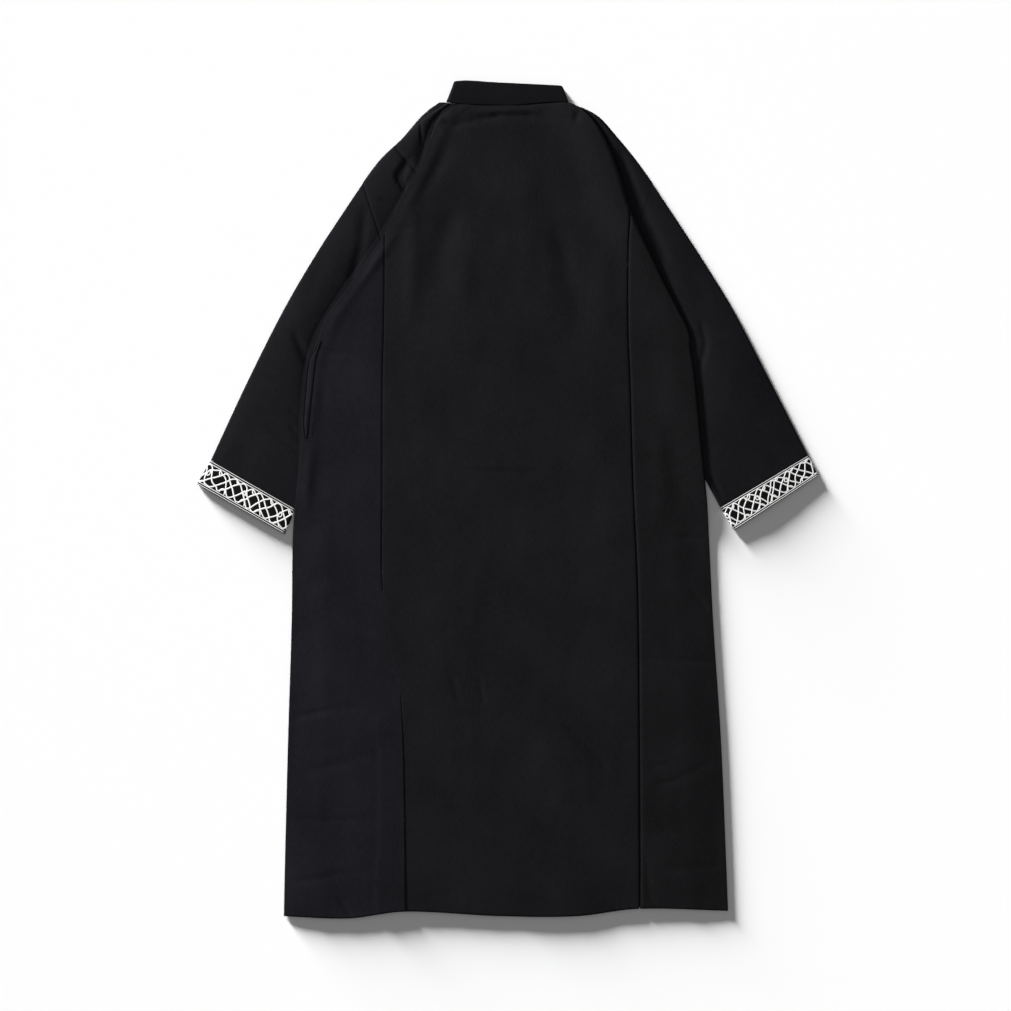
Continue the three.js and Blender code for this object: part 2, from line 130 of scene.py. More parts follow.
# Edges of the back in millimetres, height of the cloth along them, and how far
# the shoulder or sleeve below reaches in from them
BACK_EDGES = [
    {"y": 646, "left": -88, "right": 122, "rim_left": 7.2, "rim_right": 8.6, "reach": 46},
    {"y": 629, "left": -111, "right": 139, "rim_left": 7.4, "rim_right": 10.6, "reach": 46},
    {"y": 593, "left": -128, "right": 161, "rim_left": 7.6, "rim_right": 13.4, "reach": 46},
    {"y": 541, "left": -148, "right": 182.5, "rim_left": 7.8, "rim_right": 15.4, "reach": 46},
    {"y": 489, "left": -179, "right": 198.5, "rim_left": 7.8, "rim_right": 16.0, "reach": 46},
    {"y": 436, "left": -204, "right": 221, "rim_left": 7.8, "rim_right": 15.4, "reach": 46},
    {"y": 389, "left": -235, "right": 244, "rim_left": 7.8, "rim_right": 13.4, "reach": 46},
    {"y": 360, "left": -255, "right": 257, "rim_left": 7.8, "rim_right": 12.2, "reach": 46},
    {"y": 301, "left": -298, "right": 287.5, "rim_left": 7.8, "rim_right": 10.8, "reach": 47},
    {"y": 273, "left": -309.5, "right": 300, "rim_left": 7.8, "rim_right": 10.6, "reach": 47},
    {"y": 247, "left": -319, "right": 302, "rim_left": 7.6, "rim_right": 10.6, "reach": 48},
    {"y": 224, "left": -328.5, "right": 306, "rim_left": 7.4, "rim_right": 10.8, "reach": 48},
    {"y": 191, "left": -332, "right": 310, "rim_left": 7.2, "rim_right": 11.0, "reach": 48},
    {"y": 134, "left": -337, "right": 315.5, "rim_left": 7.0, "rim_right": 11.0, "reach": 40},
    {"y": 97, "left": -339.5, "right": 319, "rim_left": 7.0, "rim_right": 11.0, "reach": 32},
    {"y": 0, "left": -349, "right": 328.5, "rim_left": 7.0, "rim_right": 9.4, "reach": 15},
    {"y": -59, "left": -354, "right": 332, "rim_left": 3.2, "rim_right": 4.6, "reach": 0},
    {"y": -199, "left": -356, "right": 339, "rim_left": 3.2, "rim_right": 4.0, "reach": 0},
    {"y": -397, "left": -362, "right": 352, "rim_left": 3.2, "rim_right": 4.0, "reach": 0},
    {"y": -595, "left": -367, "right": 360.5, "rim_left": 3.4, "rim_right": 4.0, "reach": 0},
    {"y": -691, "left": -369, "right": 364, "rim_left": 3.6, "rim_right": 4.0, "reach": 0},
]
# The two long seams, and how wide the right one stands open
SEAMS = [
    {"y": 470, "left": -202, "right": 201, "right_gap": 0.9},
    {"y": 413, "left": -202, "right": 198, "right_gap": 0.9},
    {"y": 281, "left": -203.5, "right": 198, "right_gap": 1.0},
    {"y": 204, "left": -205.5, "right": 201, "right_gap": 1.0},
    {"y": 32, "left": -206, "right": 206, "right_gap": 1.3},
    {"y": -153, "left": -207, "right": 214, "right_gap": 1.9},
    {"y": -380, "left": -207, "right": 216.5, "right_gap": 1.8},
    {"y": -560, "left": -207, "right": 217.5, "right_gap": 2.6},
    {"y": -691, "left": -207, "right": 217.5, "right_gap": 1.7},
]
# The neck seam and the hem
NECK = [
    {"x": -104, "y": 655},
    {"x": -73, "y": 651.3},
    {"x": -16, "y": 649.3},
    {"x": 11, "y": 649},
    {"x": 54, "y": 653},
    {"x": 99, "y": 654},
    {"x": 126, "y": 643},
]
HEM = [
    {"x": -369, "y": -687},
    {"x": -260, "y": -690.2},
    {"x": -171, "y": -679},
    {"x": -12, "y": -686.5},
    {"x": 115, "y": -686.5},
    {"x": 217, "y": -674.5},
    {"x": 364, "y": -678},
]
# Soft folds and pressed creases: a ridge where rise is above 0, a trough where it is below
BACK_CREASES = [
    {"x1": -66, "y1": 639, "x2": 50, "y2": 641, "width": 6, "rise": 2.4},
    {"x1": -96, "y1": 647, "x2": -82, "y2": 637, "width": 3.6, "rise": -3.0},
    {"x1": -82, "y1": 613, "x2": -112, "y2": 625, "width": 3.2, "soft": 1.8, "rise": -3.4},
    {"x1": -90, "y1": 617, "x2": -56, "y2": 624, "width": 5, "rise": -1.4},
    {"x1": -58, "y1": 624.5, "x2": -14, "y2": 632.5, "width": 4.2, "rise": -2.2},
    {"x1": -24, "y1": 632.5, "x2": 40, "y2": 633.5, "width": 4.2, "rise": -3.0},
    {"x1": 30, "y1": 632, "x2": 62, "y2": 627, "width": 5, "rise": -1.6},
    {"x1": -70, "y1": 612, "x2": 55, "y2": 614, "width": 12, "rise": 1.4},
    {"x1": 111, "y1": 623, "x2": 117, "y2": 636, "width": 5, "rise": -2.6},
    {"x1": 117, "y1": 636, "x2": 126, "y2": 641, "width": 4, "rise": -2.0},
    {"x1": -100, "y1": 590, "x2": -110, "y2": 562, "width": 14, "rise": -1.6},
    {"x1": -110, "y1": 562, "x2": -135, "y2": 517, "width": 13, "rise": -2.6},
    {"x1": -93, "y1": 470, "x2": -110, "y2": 413, "width": 17, "rise": -3.0},
    {"x1": -110, "y1": 413, "x2": -118, "y2": 340, "width": 20, "rise": -2.8},
    {"x1": -60, "y1": 440, "x2": -74, "y2": 330, "width": 18, "rise": 1.6},
    {"x1": 78, "y1": 450, "x2": 106, "y2": 351, "width": 17, "rise": -2.4},
    {"x1": 106, "y1": 351, "x2": 124, "y2": 280, "width": 20, "rise": -2.2},
    {"x1": 148, "y1": 420, "x2": 160, "y2": 300, "width": 18, "rise": 1.4},
    {"x1": -156, "y1": 499, "x2": -158, "y2": 300, "width": 14, "rise": 2.2},
    {"x1": 20, "y1": 560, "x2": 40, "y2": 400, "width": 26, "rise": 1.4},
    {"x1": -186, "y1": 449, "x2": -158, "y2": 444, "width": 4, "rise": -1.3},
    {"x1": -20, "y1": 300, "x2": 10, "y2": 120, "width": 40, "rise": 1.2},
    {"x1": -73, "y1": 58, "x2": 45, "y2": 52, "width": 6, "rise": 0.6},
    {"x1": 40, "y1": 44, "x2": -70, "y2": 50, "width": 4, "soft": 2, "rise": -0.7},
    {"x1": 0, "y1": -80, "x2": -20, "y2": -420, "width": 42, "rise": 1.4},
    {"x1": -110, "y1": -120, "x2": 60, "y2": -250, "width": 30, "rise": -0.9},
    {"x1": 100, "y1": -377, "x2": 167, "y2": -438, "width": 6, "rise": -1.7},
    {"x1": -90, "y1": -506, "x2": -32, "y2": -545, "width": 6, "rise": -1.4},
    {"x1": -47, "y1": -296, "x2": -39, "y2": -336, "width": 4, "rise": -1.2},
    {"x1": -95, "y1": -283, "x2": -78, "y2": -336, "width": 5, "rise": -1.2},
    {"x1": 20, "y1": -560, "x2": 130, "y2": -640, "width": 22, "rise": 1.1},
    {"x1": -308, "y1": 249, "x2": -272, "y2": 238, "width": 4, "rise": -1.7},
    {"x1": -300, "y1": 212, "x2": -286, "y2": 150, "width": 12, "rise": 1.0},
    {"x1": -344, "y1": 40, "x2": -300, "y2": 10, "width": 10, "rise": -1.0},
    {"x1": -350, "y1": -150, "x2": -270, "y2": -118, "width": 14, "rise": -1.0},
    {"x1": -318, "y1": -351, "x2": -354, "y2": -356, "width": 2.6, "soft": 3, "rise": -0.9},
    {"x1": -290, "y1": -345, "x2": -330, "y2": -352, "width": 2.6, "soft": 3, "rise": -1.4},
    {"x1": -286, "y1": -346, "x2": -233, "y2": -342, "width": 7, "rise": -0.7},
    {"x1": -348, "y1": -366, "x2": -290, "y2": -358, "width": 9, "rise": 0.4},
    {"x1": -330, "y1": -446, "x2": -296, "y2": -440, "width": 8, "rise": -0.8},
    {"x1": -310, "y1": -444, "x2": -240, "y2": -426, "width": 8, "rise": -0.9},
    {"x1": -350, "y1": -526, "x2": -290, "y2": -529, "width": 5, "rise": -0.9},
    {"x1": -300, "y1": -530, "x2": -214, "y2": -525, "width": 5, "rise": -0.8},
    {"x1": -352, "y1": -630, "x2": -290, "y2": -622, "width": 6, "rise": -1.0},
    {"x1": -300, "y1": -620, "x2": -224, "y2": -611, "width": 7, "rise": -0.8},
    {"x1": -276, "y1": -660, "x2": -258, "y2": -684, "width": 4, "rise": -2.0},
    {"x1": -215, "y1": -395, "x2": -214, "y2": -590, "width": 5, "rise": -0.8},
    {"x1": 300, "y1": -62, "x2": 262, "y2": -57, "width": 3, "soft": 2.4, "rise": -0.8},
    {"x1": 330, "y1": -67, "x2": 290, "y2": -60, "width": 3, "soft": 2.4, "rise": -1.3},
    {"x1": 300, "y1": -264, "x2": 222, "y2": -260, "width": 3, "soft": 2.4, "rise": -0.8},
    {"x1": 345, "y1": -268, "x2": 285, "y2": -264, "width": 3, "soft": 2.4, "rise": -1.1},
    {"x1": 305, "y1": -158, "x2": 337, "y2": -186, "width": 5, "rise": -1.6},
    {"x1": 282, "y1": -460, "x2": 245, "y2": -468, "width": 3, "soft": 2.4, "rise": -1.3},
    {"x1": 336, "y1": -431, "x2": 275, "y2": -462, "width": 5, "soft": 2, "rise": -0.9},
    {"x1": 232, "y1": -440, "x2": 270, "y2": -437, "width": 5, "rise": -0.9},
    {"x1": 247, "y1": -532, "x2": 273, "y2": -556, "width": 5, "rise": -1.5},
    {"x1": 262, "y1": -610, "x2": 352, "y2": -604, "width": 7, "rise": -1.0},
    {"x1": 226, "y1": -585, "x2": 236, "y2": -660, "width": 7, "rise": -1.2},
    {"x1": 230, "y1": 250, "x2": 286, "y2": 236, "width": 8, "rise": -1.0},
    {"x1": 250, "y1": 120, "x2": 258, "y2": -20, "width": 16, "rise": 1.2},
]


def smoothstep(low, high, value):
    share = min(max((value - low) / (high - low), 0.0), 1.0)
    return share * share * (3 - 2 * share)


def lerp(a, b, share):
    return a + (b - a) * share


def steps(start, end, count):
    return [lerp(start, end, n / count) for n in range(count + 1)]


def rows_of(low, high, spacing):
    return steps(low, high, max(1, round((high - low) / spacing)))


def between(rows, key, value, column):
    """One column of a table in millimetres, on a smooth curve between its rows; in and out in metres."""
    ordered = sorted(rows, key=lambda row: row[key])
    at = min(max(value / MM, ordered[0][key]), ordered[-1][key])
    last = len(ordered) - 1
    first = 0
    while first < last - 1 and ordered[first + 1][key] < at:
        first += 1
    a, b = ordered[first], ordered[first + 1]
    before, after = ordered[max(first - 1, 0)], ordered[min(first + 2, last)]
    span = b[key] - a[key]
    share = (at - a[key]) / span

    def slope(p, q):
        return (q[column] - p[column]) / (q[key] - p[key]) * span

    rise_a, rise_b = slope(before, b), slope(a, after)
    change = b[column] - a[column]
    cubic = rise_a + rise_b - 2 * change
    square = 3 * change - 2 * rise_a - rise_b
    return (((cubic * share + square) * share + rise_a) * share + a[column]) * MM


known_edges = {}


def edge_row(y):
    """The back's edges at one height, kept for the points of the same row.

    Half is half the height of the fold along an edge, and nose is how far it reaches in from the edge.
    """
    key = round(y, 6)
    if key not in known_edges:
        columns = ("left", "right", "rim_left", "rim_right", "reach")
        row = {name: between(BACK_EDGES, "y", y, name) for name in columns}
        bottom = lerp(OPEN_LIP, LIP, smoothstep(*LIP_LEVELS, y))
        for side in ("left", "right"):
            row["half_" + side] = (row["rim_" + side] - bottom) / 2
            shape = lerp(NOSE["hem"], NOSE[side], smoothstep(*NOSE_LEVELS, y))
            row["nose_" + side] = row["half_" + side] * shape
        known_edges[key] = row
    return known_edges[key]


CREASE_REACH = 3  # how many widths away a crease still counts
CREASE_ENDS = 0.4  # share of its rise that a crease has at its ends


def creases_at(x, y, creases):
    """Rise or drop that a table of creases gives the cloth at a point; each fades towards its ends.

    Soft makes a crease that many times as wide on the left of the way from its first end to its second.
    """
    total = 0.0
    for crease in creases:
        x1, y1 = crease["x1"] * MM, crease["y1"] * MM
        run, fall = crease["x2"] * MM - x1, crease["y2"] * MM - y1
        soft = crease.get("soft", 1)
        reach = CREASE_REACH * crease["width"] * soft * MM
        if not min(x1, x1 + run) - reach < x < max(x1, x1 + run) + reach:
            continue
        if not min(y1, y1 + fall) - reach < y < max(y1, y1 + fall) + reach:
            continue
        on_left = run * (y - y1) - fall * (x - x1) > 0
        width = crease["width"] * (soft if on_left else 1) * MM
        along = ((x - x1) * run + (y - y1) * fall) / (run * run + fall * fall)
        near = min(max(along, 0.0), 1.0)
        away = math.hypot(x - x1 - near * run, y - y1 - near * fall)
        fade = lerp(CREASE_ENDS, 1, math.sqrt(math.sin(math.pi * near)))
        total += crease["rise"] * MM * fade * math.exp(-((away / width) ** 2))
    return total


# Rise in millimetres, and turns to a metre across and along the robe
WAVES = [
    {"rise": 1.5, "across": 13, "along": 3.6, "seed": 0.7},
    {"rise": 0.45, "across": 38, "along": 17, "seed": 4.2},
    {"rise": 0.12, "across": 95, "along": 70, "seed": 8.1},
]


def drape(x, y):
    """Long soft waves that run down the cloth, with small uneven ones on them."""
    total = 0.0
    for wave in WAVES:
        place = Vector((x * wave["across"], y * wave["along"], wave["seed"]))
        total += wave["rise"] * noise.noise(place)
    return total * MM


FOLD_SWELL = {"rise": 1.6 * MM, "inside": 17 * MM, "width": 10 * MM}
WHOLE_REACH = 20 * MM  # an arm that reaches in this far carries the edge wholly
EDGE_FLAT = 12 * MM  # how far in the cloth stays level on an arm
SLOPE = {"hem": 64 * MM, "arm": 32 * MM}  # how far past the arm's reach it comes to the body's height
LOOSE = (2 * MM, 16 * MM)  # distances inside the edge between which creases and waves set in
UNDER_MARGIN = 6 * MM  # how far past an arm the back is still kept above it


def back_top(x, y):
    """Height of the back's upper side: it lies on the arms along its edges, and further in on the front."""
    edge = edge_row(y)
    from_left, from_right = x - edge["left"], edge["right"] - x
    side = "left" if from_left < from_right else "right"
    inside = max(min(from_left, from_right), 0.0)
    reach = edge["reach"]
    hem = between(HEM, "x", x, "y")
    body = BODY_TOP - HEM_DROP * smoothstep(hem + HEM_RUN, hem, y)
    over_arm = smoothstep(0, WHOLE_REACH, reach)
    slope_end = reach + lerp(SLOPE["hem"], SLOPE["arm"], over_arm)
    height = lerp(edge["rim_" + side], body, smoothstep(EDGE_FLAT * over_arm, slope_end, inside))
    swell = math.exp(-(((from_left - FOLD_SWELL["inside"]) / FOLD_SWELL["width"]) ** 2))
    height += FOLD_SWELL["rise"] * over_arm * swell * (1 + noise.noise(Vector((y * 14, 3, 5))))
    below = UNDER_TOP if over_arm > 0 and inside < reach + UNDER_MARGIN else FRONT_TOP
    moved = height + smoothstep(*LOOSE, inside) * (creases_at(x, y, BACK_CREASES) + drape(x, y))
    in_nose = max(1 - inside / edge["nose_" + side], 0.0)
    rounded = edge["half_" + side] * (1 - math.sqrt(1 - in_nose * in_nose))
    return max(moved, min(below + LAYER_GAP + CLOTH, edge["rim_" + side])) - rounded


NECK_SEAM = {"depth": 1.8 * MM, "width": 4 * MM}
NECK_SPAN = (-84 * MM, 101 * MM)
HEM_LEVEL = -680 * MM
NECK_LEVEL = 646 * MM
BEND = 60 * MM  # how far from the hem and the neck seam the rows start to bend


def row_y(level, x):
    """A row of the back lies level, but bends to the hem below and to the neck seam above."""
    to_hem = (between(HEM, "x", x, "y") - HEM_LEVEL) * smoothstep(HEM_LEVEL + BEND, HEM_LEVEL, level)
    to_neck = (between(NECK, "x", x, "y") - NECK_LEVEL) * smoothstep(NECK_LEVEL - BEND, NECK_LEVEL, level)
    return level + to_hem + to_neck


def groove(distance, depth, width):
    """Drop beside a pressed seam: deepest on the seam itself."""
    return -depth * math.exp(-((distance / width) ** 2))


def back_point(x, level, lift=0.0):
    """A point on the back's upper side, raised by lift, with the dip along the neck seam."""
    y = row_y(level, x)
    neck_dip = groove(NECK_LEVEL - level, **NECK_SEAM) if NECK_SPAN[0] < x < NECK_SPAN[1] else 0.0
    return Vector((x, y, back_top(x, y) + lift + neck_dip))


# How far the cloth is turned under, and the levels between which it comes to that. Beside the
# cuffs the side seam lies on the sleeve, so less is turned there than over the arms.
TURN_AT_SIDE = {"width": 10 * MM, "levels": (-45 * MM, 20 * MM)}
TURN_OVER_ARM = {"width": 24 * MM, "levels": (205 * MM, 260 * MM)}
TURN_AT_NECK = {"share": 0.4, "levels": (590 * MM, 640 * MM)}
LEAST_TURN = 3 * MM  # a narrower turn is left out
TURN_PAST_NOSE = 1 * MM  # least length of cloth past the round of the fold
TURN_STEPS = 5
OPEN_FOLD = math.radians(60)  # how far round the lower half of a fold goes where none is turned
NOSE_ANGLES = steps(0, math.pi / 2, 6)


def turn_width(level):
    at_side = smoothstep(*TURN_AT_SIDE["levels"], level)
    over_arm = smoothstep(*TURN_OVER_ARM["levels"], level)
    at_neck = smoothstep(*TURN_AT_NECK["levels"], level)
    more_over_arm = TURN_OVER_ARM["width"] - TURN_AT_SIDE["width"]
    width = TURN_AT_SIDE["width"] * at_side + more_over_arm * over_arm
    return width * lerp(1, TURN_AT_NECK["share"], at_neck)


def turned_edge(side, level):
    """Points below an edge: the cloth turned under it, then the lower half of the fold up to its tip."""
    edge = edge_row(level)
    inward = 1 if side == "left" else -1
    half, nose = edge["half_" + side], edge["nose_" + side]
    tip = edge["rim_" + side] - half
    width = turn_width(level)
    is_turned = width > LEAST_TURN
    turn = steps(max(width, nose + TURN_PAST_NOSE), nose, 3)[:-1]
    places = [(inside, tip - half, is_turned) for inside in turn]
    for n in range(TURN_STEPS):
        angle = math.radians(90 * (1 - n / TURN_STEPS))
        shown = is_turned or angle < OPEN_FOLD
        places.append((nose * (1 - math.cos(angle)), tip - half * math.sin(angle), shown))
    points = []
    for inside, z, shown in places:
        x = edge[side] + inward * inside
        points.append(Vector((x, row_y(level, x), z)) if shown else None)
    return points


def nose_offsets(side, level):
    """Distances in from an edge at which the upper half of its fold has points."""
    nose = edge_row(level)["nose_" + side]
    return [nose * (1 - math.cos(angle)) for angle in NOSE_ANGLES]


def cloth_rows(name, rows, thickness, closed=False):
    """A sheet through rows of points on its outer side; closed rows go round a tube, None is no cloth."""
    columns = len(rows[0])
    bm = bmesh.new()
    bmesh.ops.create_grid(bm, x_segments=columns - 1 + closed, y_segments=len(rows) - 1, size=1)
    bm.verts.ensure_lookup_table()
    missing = []
    for index, vert in enumerate(bm.verts):
        row, column = divmod(index, columns + closed)
        point = rows[row][column % columns]
        if point is None:
            missing.append(vert)
        else:
            vert.co = point
    bmesh.ops.delete(bm, geom=missing, context="VERTS")
    bmesh.ops.remove_doubles(bm, verts=bm.verts, dist=0.01 * MM)
    for face in bm.faces:
        face.smooth = True
    mesh = bpy.data.meshes.new(name)
    bm.to_mesh(mesh)
    bm.free()
    piece = bpy.data.objects.new(name, mesh)
    bpy.context.collection.objects.link(piece)
    wall = piece.modifiers.new("wall", "SOLIDIFY")
    wall.thickness = thickness
    wall.offset = -1
    return piece


def add_nodes(tree, *kinds):
    return [tree.nodes.new(f"ShaderNode{kind}") for kind in kinds]


def socket(sockets, identifier):
    """The socket of a mix node that belongs to colours, which shares its name with others."""
    return next(item for item in sockets if item.identifier == identifier)


def make_suiting_group():
    """Fine black suiting: a small twill, uneven yarns along the cloth, and a soft cloudy shade."""
    group = bpy.data.node_groups.new("suiting", "ShaderNodeTree")
    for name, kind in (("Dark", "Color"), ("Light", "Color"), ("Turn", "Vector")):
        group.interface.new_socket(name, in_out="INPUT", socket_type=f"NodeSocket{kind}")
    for name, kind in (("Color", "Color"), ("Roughness", "Float"), ("Height", "Float")):
        group.interface.new_socket(name, in_out="OUTPUT", socket_type=f"NodeSocket{kind}")
    links = group.links
    inputs, outputs = group.nodes.new("NodeGroupInput"), group.nodes.new("NodeGroupOutput")
    place, turned, along = add_nodes(group, "TexCoord", "Mapping", "Mapping")
    along.inputs["Scale"].default_value = (1, 0.3, 1)
    links.new(place.outputs["Object"], turned.inputs["Vector"])
    links.new(inputs.outputs["Turn"], turned.inputs["Rotation"])
    links.new(turned.outputs["Vector"], along.inputs["Vector"])

    twill, yarn, slub, cloud = add_nodes(group, "TexWave", "TexNoise", "TexNoise", "TexNoise")
    twill.wave_type = "BANDS"
    twill.bands_direction = "DIAGONAL"
    twill.inputs["Scale"].default_value = 260
    twill.inputs["Distortion"].default_value = 1.2
    twill.inputs["Detail Scale"].default_value = 3
    yarn.inputs["Scale"].default_value = 900
    yarn.inputs["Detail"].default_value = 2
    slub.inputs["Scale"].default_value = 420
    slub.inputs["Detail"].default_value = 3
    cloud.inputs["Scale"].default_value = 9
    cloud.inputs["Detail"].default_value = 5
    links.new(turned.outputs["Vector"], twill.inputs["Vector"])
    links.new(turned.outputs["Vector"], yarn.inputs["Vector"])
    links.new(along.outputs["Vector"], slub.inputs["Vector"])
    links.new(turned.outputs["Vector"], cloud.inputs["Vector"])

    height, mottle, shade = add_nodes(group, "Math", "Math", "Math")
    for node, share in ((height, 0.6), (mottle, 0.8), (shade, 0.35)):
        node.operation = "MULTIPLY_ADD"
        node.inputs[1].default_value = share
    links.new(twill.outputs["Fac"], height.inputs[0])
    links.new(yarn.outputs["Fac"], height.inputs[2])
    links.new(height.outputs[0], outputs.inputs["Height"])
    links.new(slub.outputs["Fac"], mottle.inputs[0])
    links.new(cloud.outputs["Fac"], mottle.inputs[2])
    links.new(yarn.outputs["Fac"], shade.inputs[0])
    links.new(mottle.outputs[0], shade.inputs[2])

    tone, mix, rough = add_nodes(group, "MapRange", "Mix", "MapRange")
    tone.inputs["From Min"].default_value = 0.8
    tone.inputs["From Max"].default_value = 1.35
    mix.data_type = "RGBA"
    rough.inputs["To Min"].default_value = 0.7
    rough.inputs["To Max"].default_value = 0.86
    links.new(shade.outputs[0], tone.inputs["Value"])
    links.new(tone.outputs["Result"], socket(mix.inputs, "Factor_Float"))
    links.new(inputs.outputs["Dark"], socket(mix.inputs, "A_Color"))
    links.new(inputs.outputs["Light"], socket(mix.inputs, "B_Color"))
    links.new(socket(mix.outputs, "Result_Color"), outputs.inputs["Color"])
    links.new(cloud.outputs["Fac"], rough.inputs["Value"])
    links.new(rough.outputs["Result"], outputs.inputs["Roughness"])
    return group


suiting = make_suiting_group()


def black_suiting(name, color, turn=0.0):
    """A finish of the suiting about one colour; turn is the angle of its yarns, in degrees."""
    finish = bpy.data.materials.new(name)
    finish.use_nodes = True
    tree = finish.node_tree
    shader = tree.nodes["Principled BSDF"]
    shader.inputs["Specular IOR Level"].default_value = 0.06
    shader.inputs["Sheen Weight"].default_value = 0.012
    shader.inputs["Sheen Roughness"].default_value = 0.5
    weave, bump = add_nodes(tree, "Group", "Bump")
    weave.node_tree = suiting
    weave.inputs["Dark"].default_value = (*[0.7 * part for part in color], 1)
    weave.inputs["Light"].default_value = (*[1.3 * part for part in color], 1)
    weave.inputs["Turn"].default_value = (0, 0, math.radians(turn))
    bump.inputs["Strength"].default_value = 0.3
    bump.inputs["Distance"].default_value = 0.2 * MM
    tree.links.new(weave.outputs["Color"], shader.inputs["Base Color"])
    tree.links.new(weave.outputs["Roughness"], shader.inputs["Roughness"])
    tree.links.new(weave.outputs["Height"], bump.inputs["Height"])
    tree.links.new(bump.outputs["Normal"], shader.inputs["Normal"])
    return finish


def dress(piece, finish, node):
    """Finishes a piece of the robe, which stands for its node and lies with the rest."""
    piece.data.materials.append(finish)
    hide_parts(node)
    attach(piece, "root")


# The vent: below here the left seam is open, and the side panel's flap laps over the centre
VENT_FROM = -150 * MM
VENT_CLOSED = -100 * MM
FLAP_LIFT = CLOTH + LAYER_GAP
FLAP_EDGE = [
    {"y": -150, "x": -203},
    {"y": -240, "x": -183},
    {"y": -314, "x": -176},
    {"y": -430, "x": -171},
    {"y": -691, "x": -167.5},
]
TUCK_LEVELS = (-330 * MM, -270 * MM)
# Shares by which the flap is pressed into the centre, which set in between these levels, going up
PRESSED = [
    {"share": 0.6, "levels": (-420 * MM, -320 * MM)},
    {"share": 0.4, "levels": (-690 * MM, -420 * MM)},
]
# Where the centre's slope below the flap starts and ends: past the flap's edge, and at the top
# of the vent as a share of the way from the seam to that edge
BED = [{"past_edge": 0.15 * MM, "share": 0.2}, {"past_edge": 0.65 * MM, "share": 0.55}]


def flap_tuck(level):
    """1 at the top of the vent, where the flap's edge runs out below the centre, and 0 further down."""
    return smoothstep(*TUCK_LEVELS, level)


def flap_pressed(level):
    """How far the flap sinks into the centre: wholly at the top of the vent, less towards the hem."""
    pressed = sum(row["share"] * smoothstep(*row["levels"], level) for row in PRESSED)
    return FLAP_LIFT * pressed * smoothstep(VENT_CLOSED, VENT_FROM, level)


def flap_bed(x, level):
    """How far the centre sinks below the flap."""
    seam, edge = between(SEAMS, "y", level, "left"), between(FLAP_EDGE, "y", level, "x")
    tuck = flap_tuck(level)
    start, end = [lerp(edge + row["past_edge"], lerp(seam, edge, row["share"]), tuck) for row in BED]
    return flap_pressed(level) * smoothstep(end, start, x)


LEFT_SEAM = {"depth": 0.4 * MM, "width": 1.8 * MM}
RIGHT_SEAM = {"depth": 0.5 * MM, "width": 1.8 * MM}
SLIT_WAVES = {"depth": 0.5 * MM, "levels": (-200 * MM, -500 * MM), "turns": 24}
# Where the cloth's points lie closer: in from a seam, and about the guide, which is the flap's edge
SEAM_OFFSETS = [n * MM for n in (0, 0.5, 1.0, 1.7, 2.6, 3.8, 5.5)]
GUIDE_OFFSETS = [n * MM for n in (-2.5, -0.4, 0.15, 0.4, 0.65, 3)]
GUIDE_START = -194 * MM  # the guide comes no nearer to the seam
LEAST_STEP = 0.5 * MM  # least room for a point between the two sets
CLOSE_STEP = 1.5 * MM  # spacing of the guide's points where they find no room
LAST_STEP = 3 * MM
CENTRE_ACROSS = 92
LEVELS = rows_of(HEM_LEVEL, NECK_LEVEL, CELL)


def centre_columns(left, right, guide, left_offsets, right_offsets):
    """Places across the centre back, closer beside both its sides and under the edge of the flap."""
    columns = [left + n for n in left_offsets]
    guided = [guide + n for n in GUIDE_OFFSETS]
    if guided[0] > columns[-1] + LEAST_STEP:
        columns += [lerp(columns[-1], guided[0], 0.5)] + guided
    else:
        columns += [columns[-1] + CLOSE_STEP * (n + 1) for n in range(len(guided) + 1)]
    last = right - right_offsets[-1] - LAST_STEP
    columns += steps(columns[-1], last, CENTRE_ACROSS)[1:]
    return columns + [right - n for n in reversed(right_offsets)]


def seam_gap(side, level):
    """Width of a seam; the right one opens into a slit lower down, with slightly wavy edges."""
    if side == "left":
        return SEAM_GAP
    depth = SLIT_WAVES["depth"] * smoothstep(*SLIT_WAVES["levels"], level)
    waves = depth * noise.noise(Vector((level * SLIT_WAVES["turns"], 2, 6)))
    return between(SEAMS, "y", level, "right_gap") + waves


def is_folded(side, level):
    """Whether the centre back reaches out to the edge at this height, with no side panel beside it."""
    seam, edge = between(SEAMS, "y", level, side), edge_row(level)[side]
    return edge > seam if side == "left" else edge < seam


rows = []
for level in LEVELS:
    folded = {side: is_folded(side, level) for side in ("left", "right")}
    ends, offsets, turned = {}, {}, {}
    for side, inward in (("left", 1), ("right", -1)):
        turned[side] = turned_edge(side, level)
        if folded[side]:
            ends[side] = edge_row(level)[side]
            offsets[side] = nose_offsets(side, level)
        else:
            ends[side] = between(SEAMS, "y", level, side) + inward * seam_gap(side, level) / 2
            offsets[side] = SEAM_OFFSETS
            turned[side] = [None] * len(turned[side])
    guide = max(between(FLAP_EDGE, "y", level, "x"), GUIDE_START)
    top = []
    for x in centre_columns(ends["left"], ends["right"], guide, offsets["left"], offsets["right"]):
        lift = -flap_bed(x, level)
        closed = smoothstep(VENT_FROM, VENT_CLOSED, level)
        lift += 0 if folded["left"] else closed * groove(x - ends["left"], **LEFT_SEAM)
        lift += 0 if folded["right"] else groove(ends["right"] - x, **RIGHT_SEAM)
        top.append(back_point(x, level, lift))
    rows.append(turned["left"] + top + turned["right"][::-1])
back_centre = cloth_rows("back_centre_cloth", rows, CLOTH)
dress(back_centre, black_suiting("centre_back_suiting", (0.0081, 0.0081, 0.0096)), "back_centre")

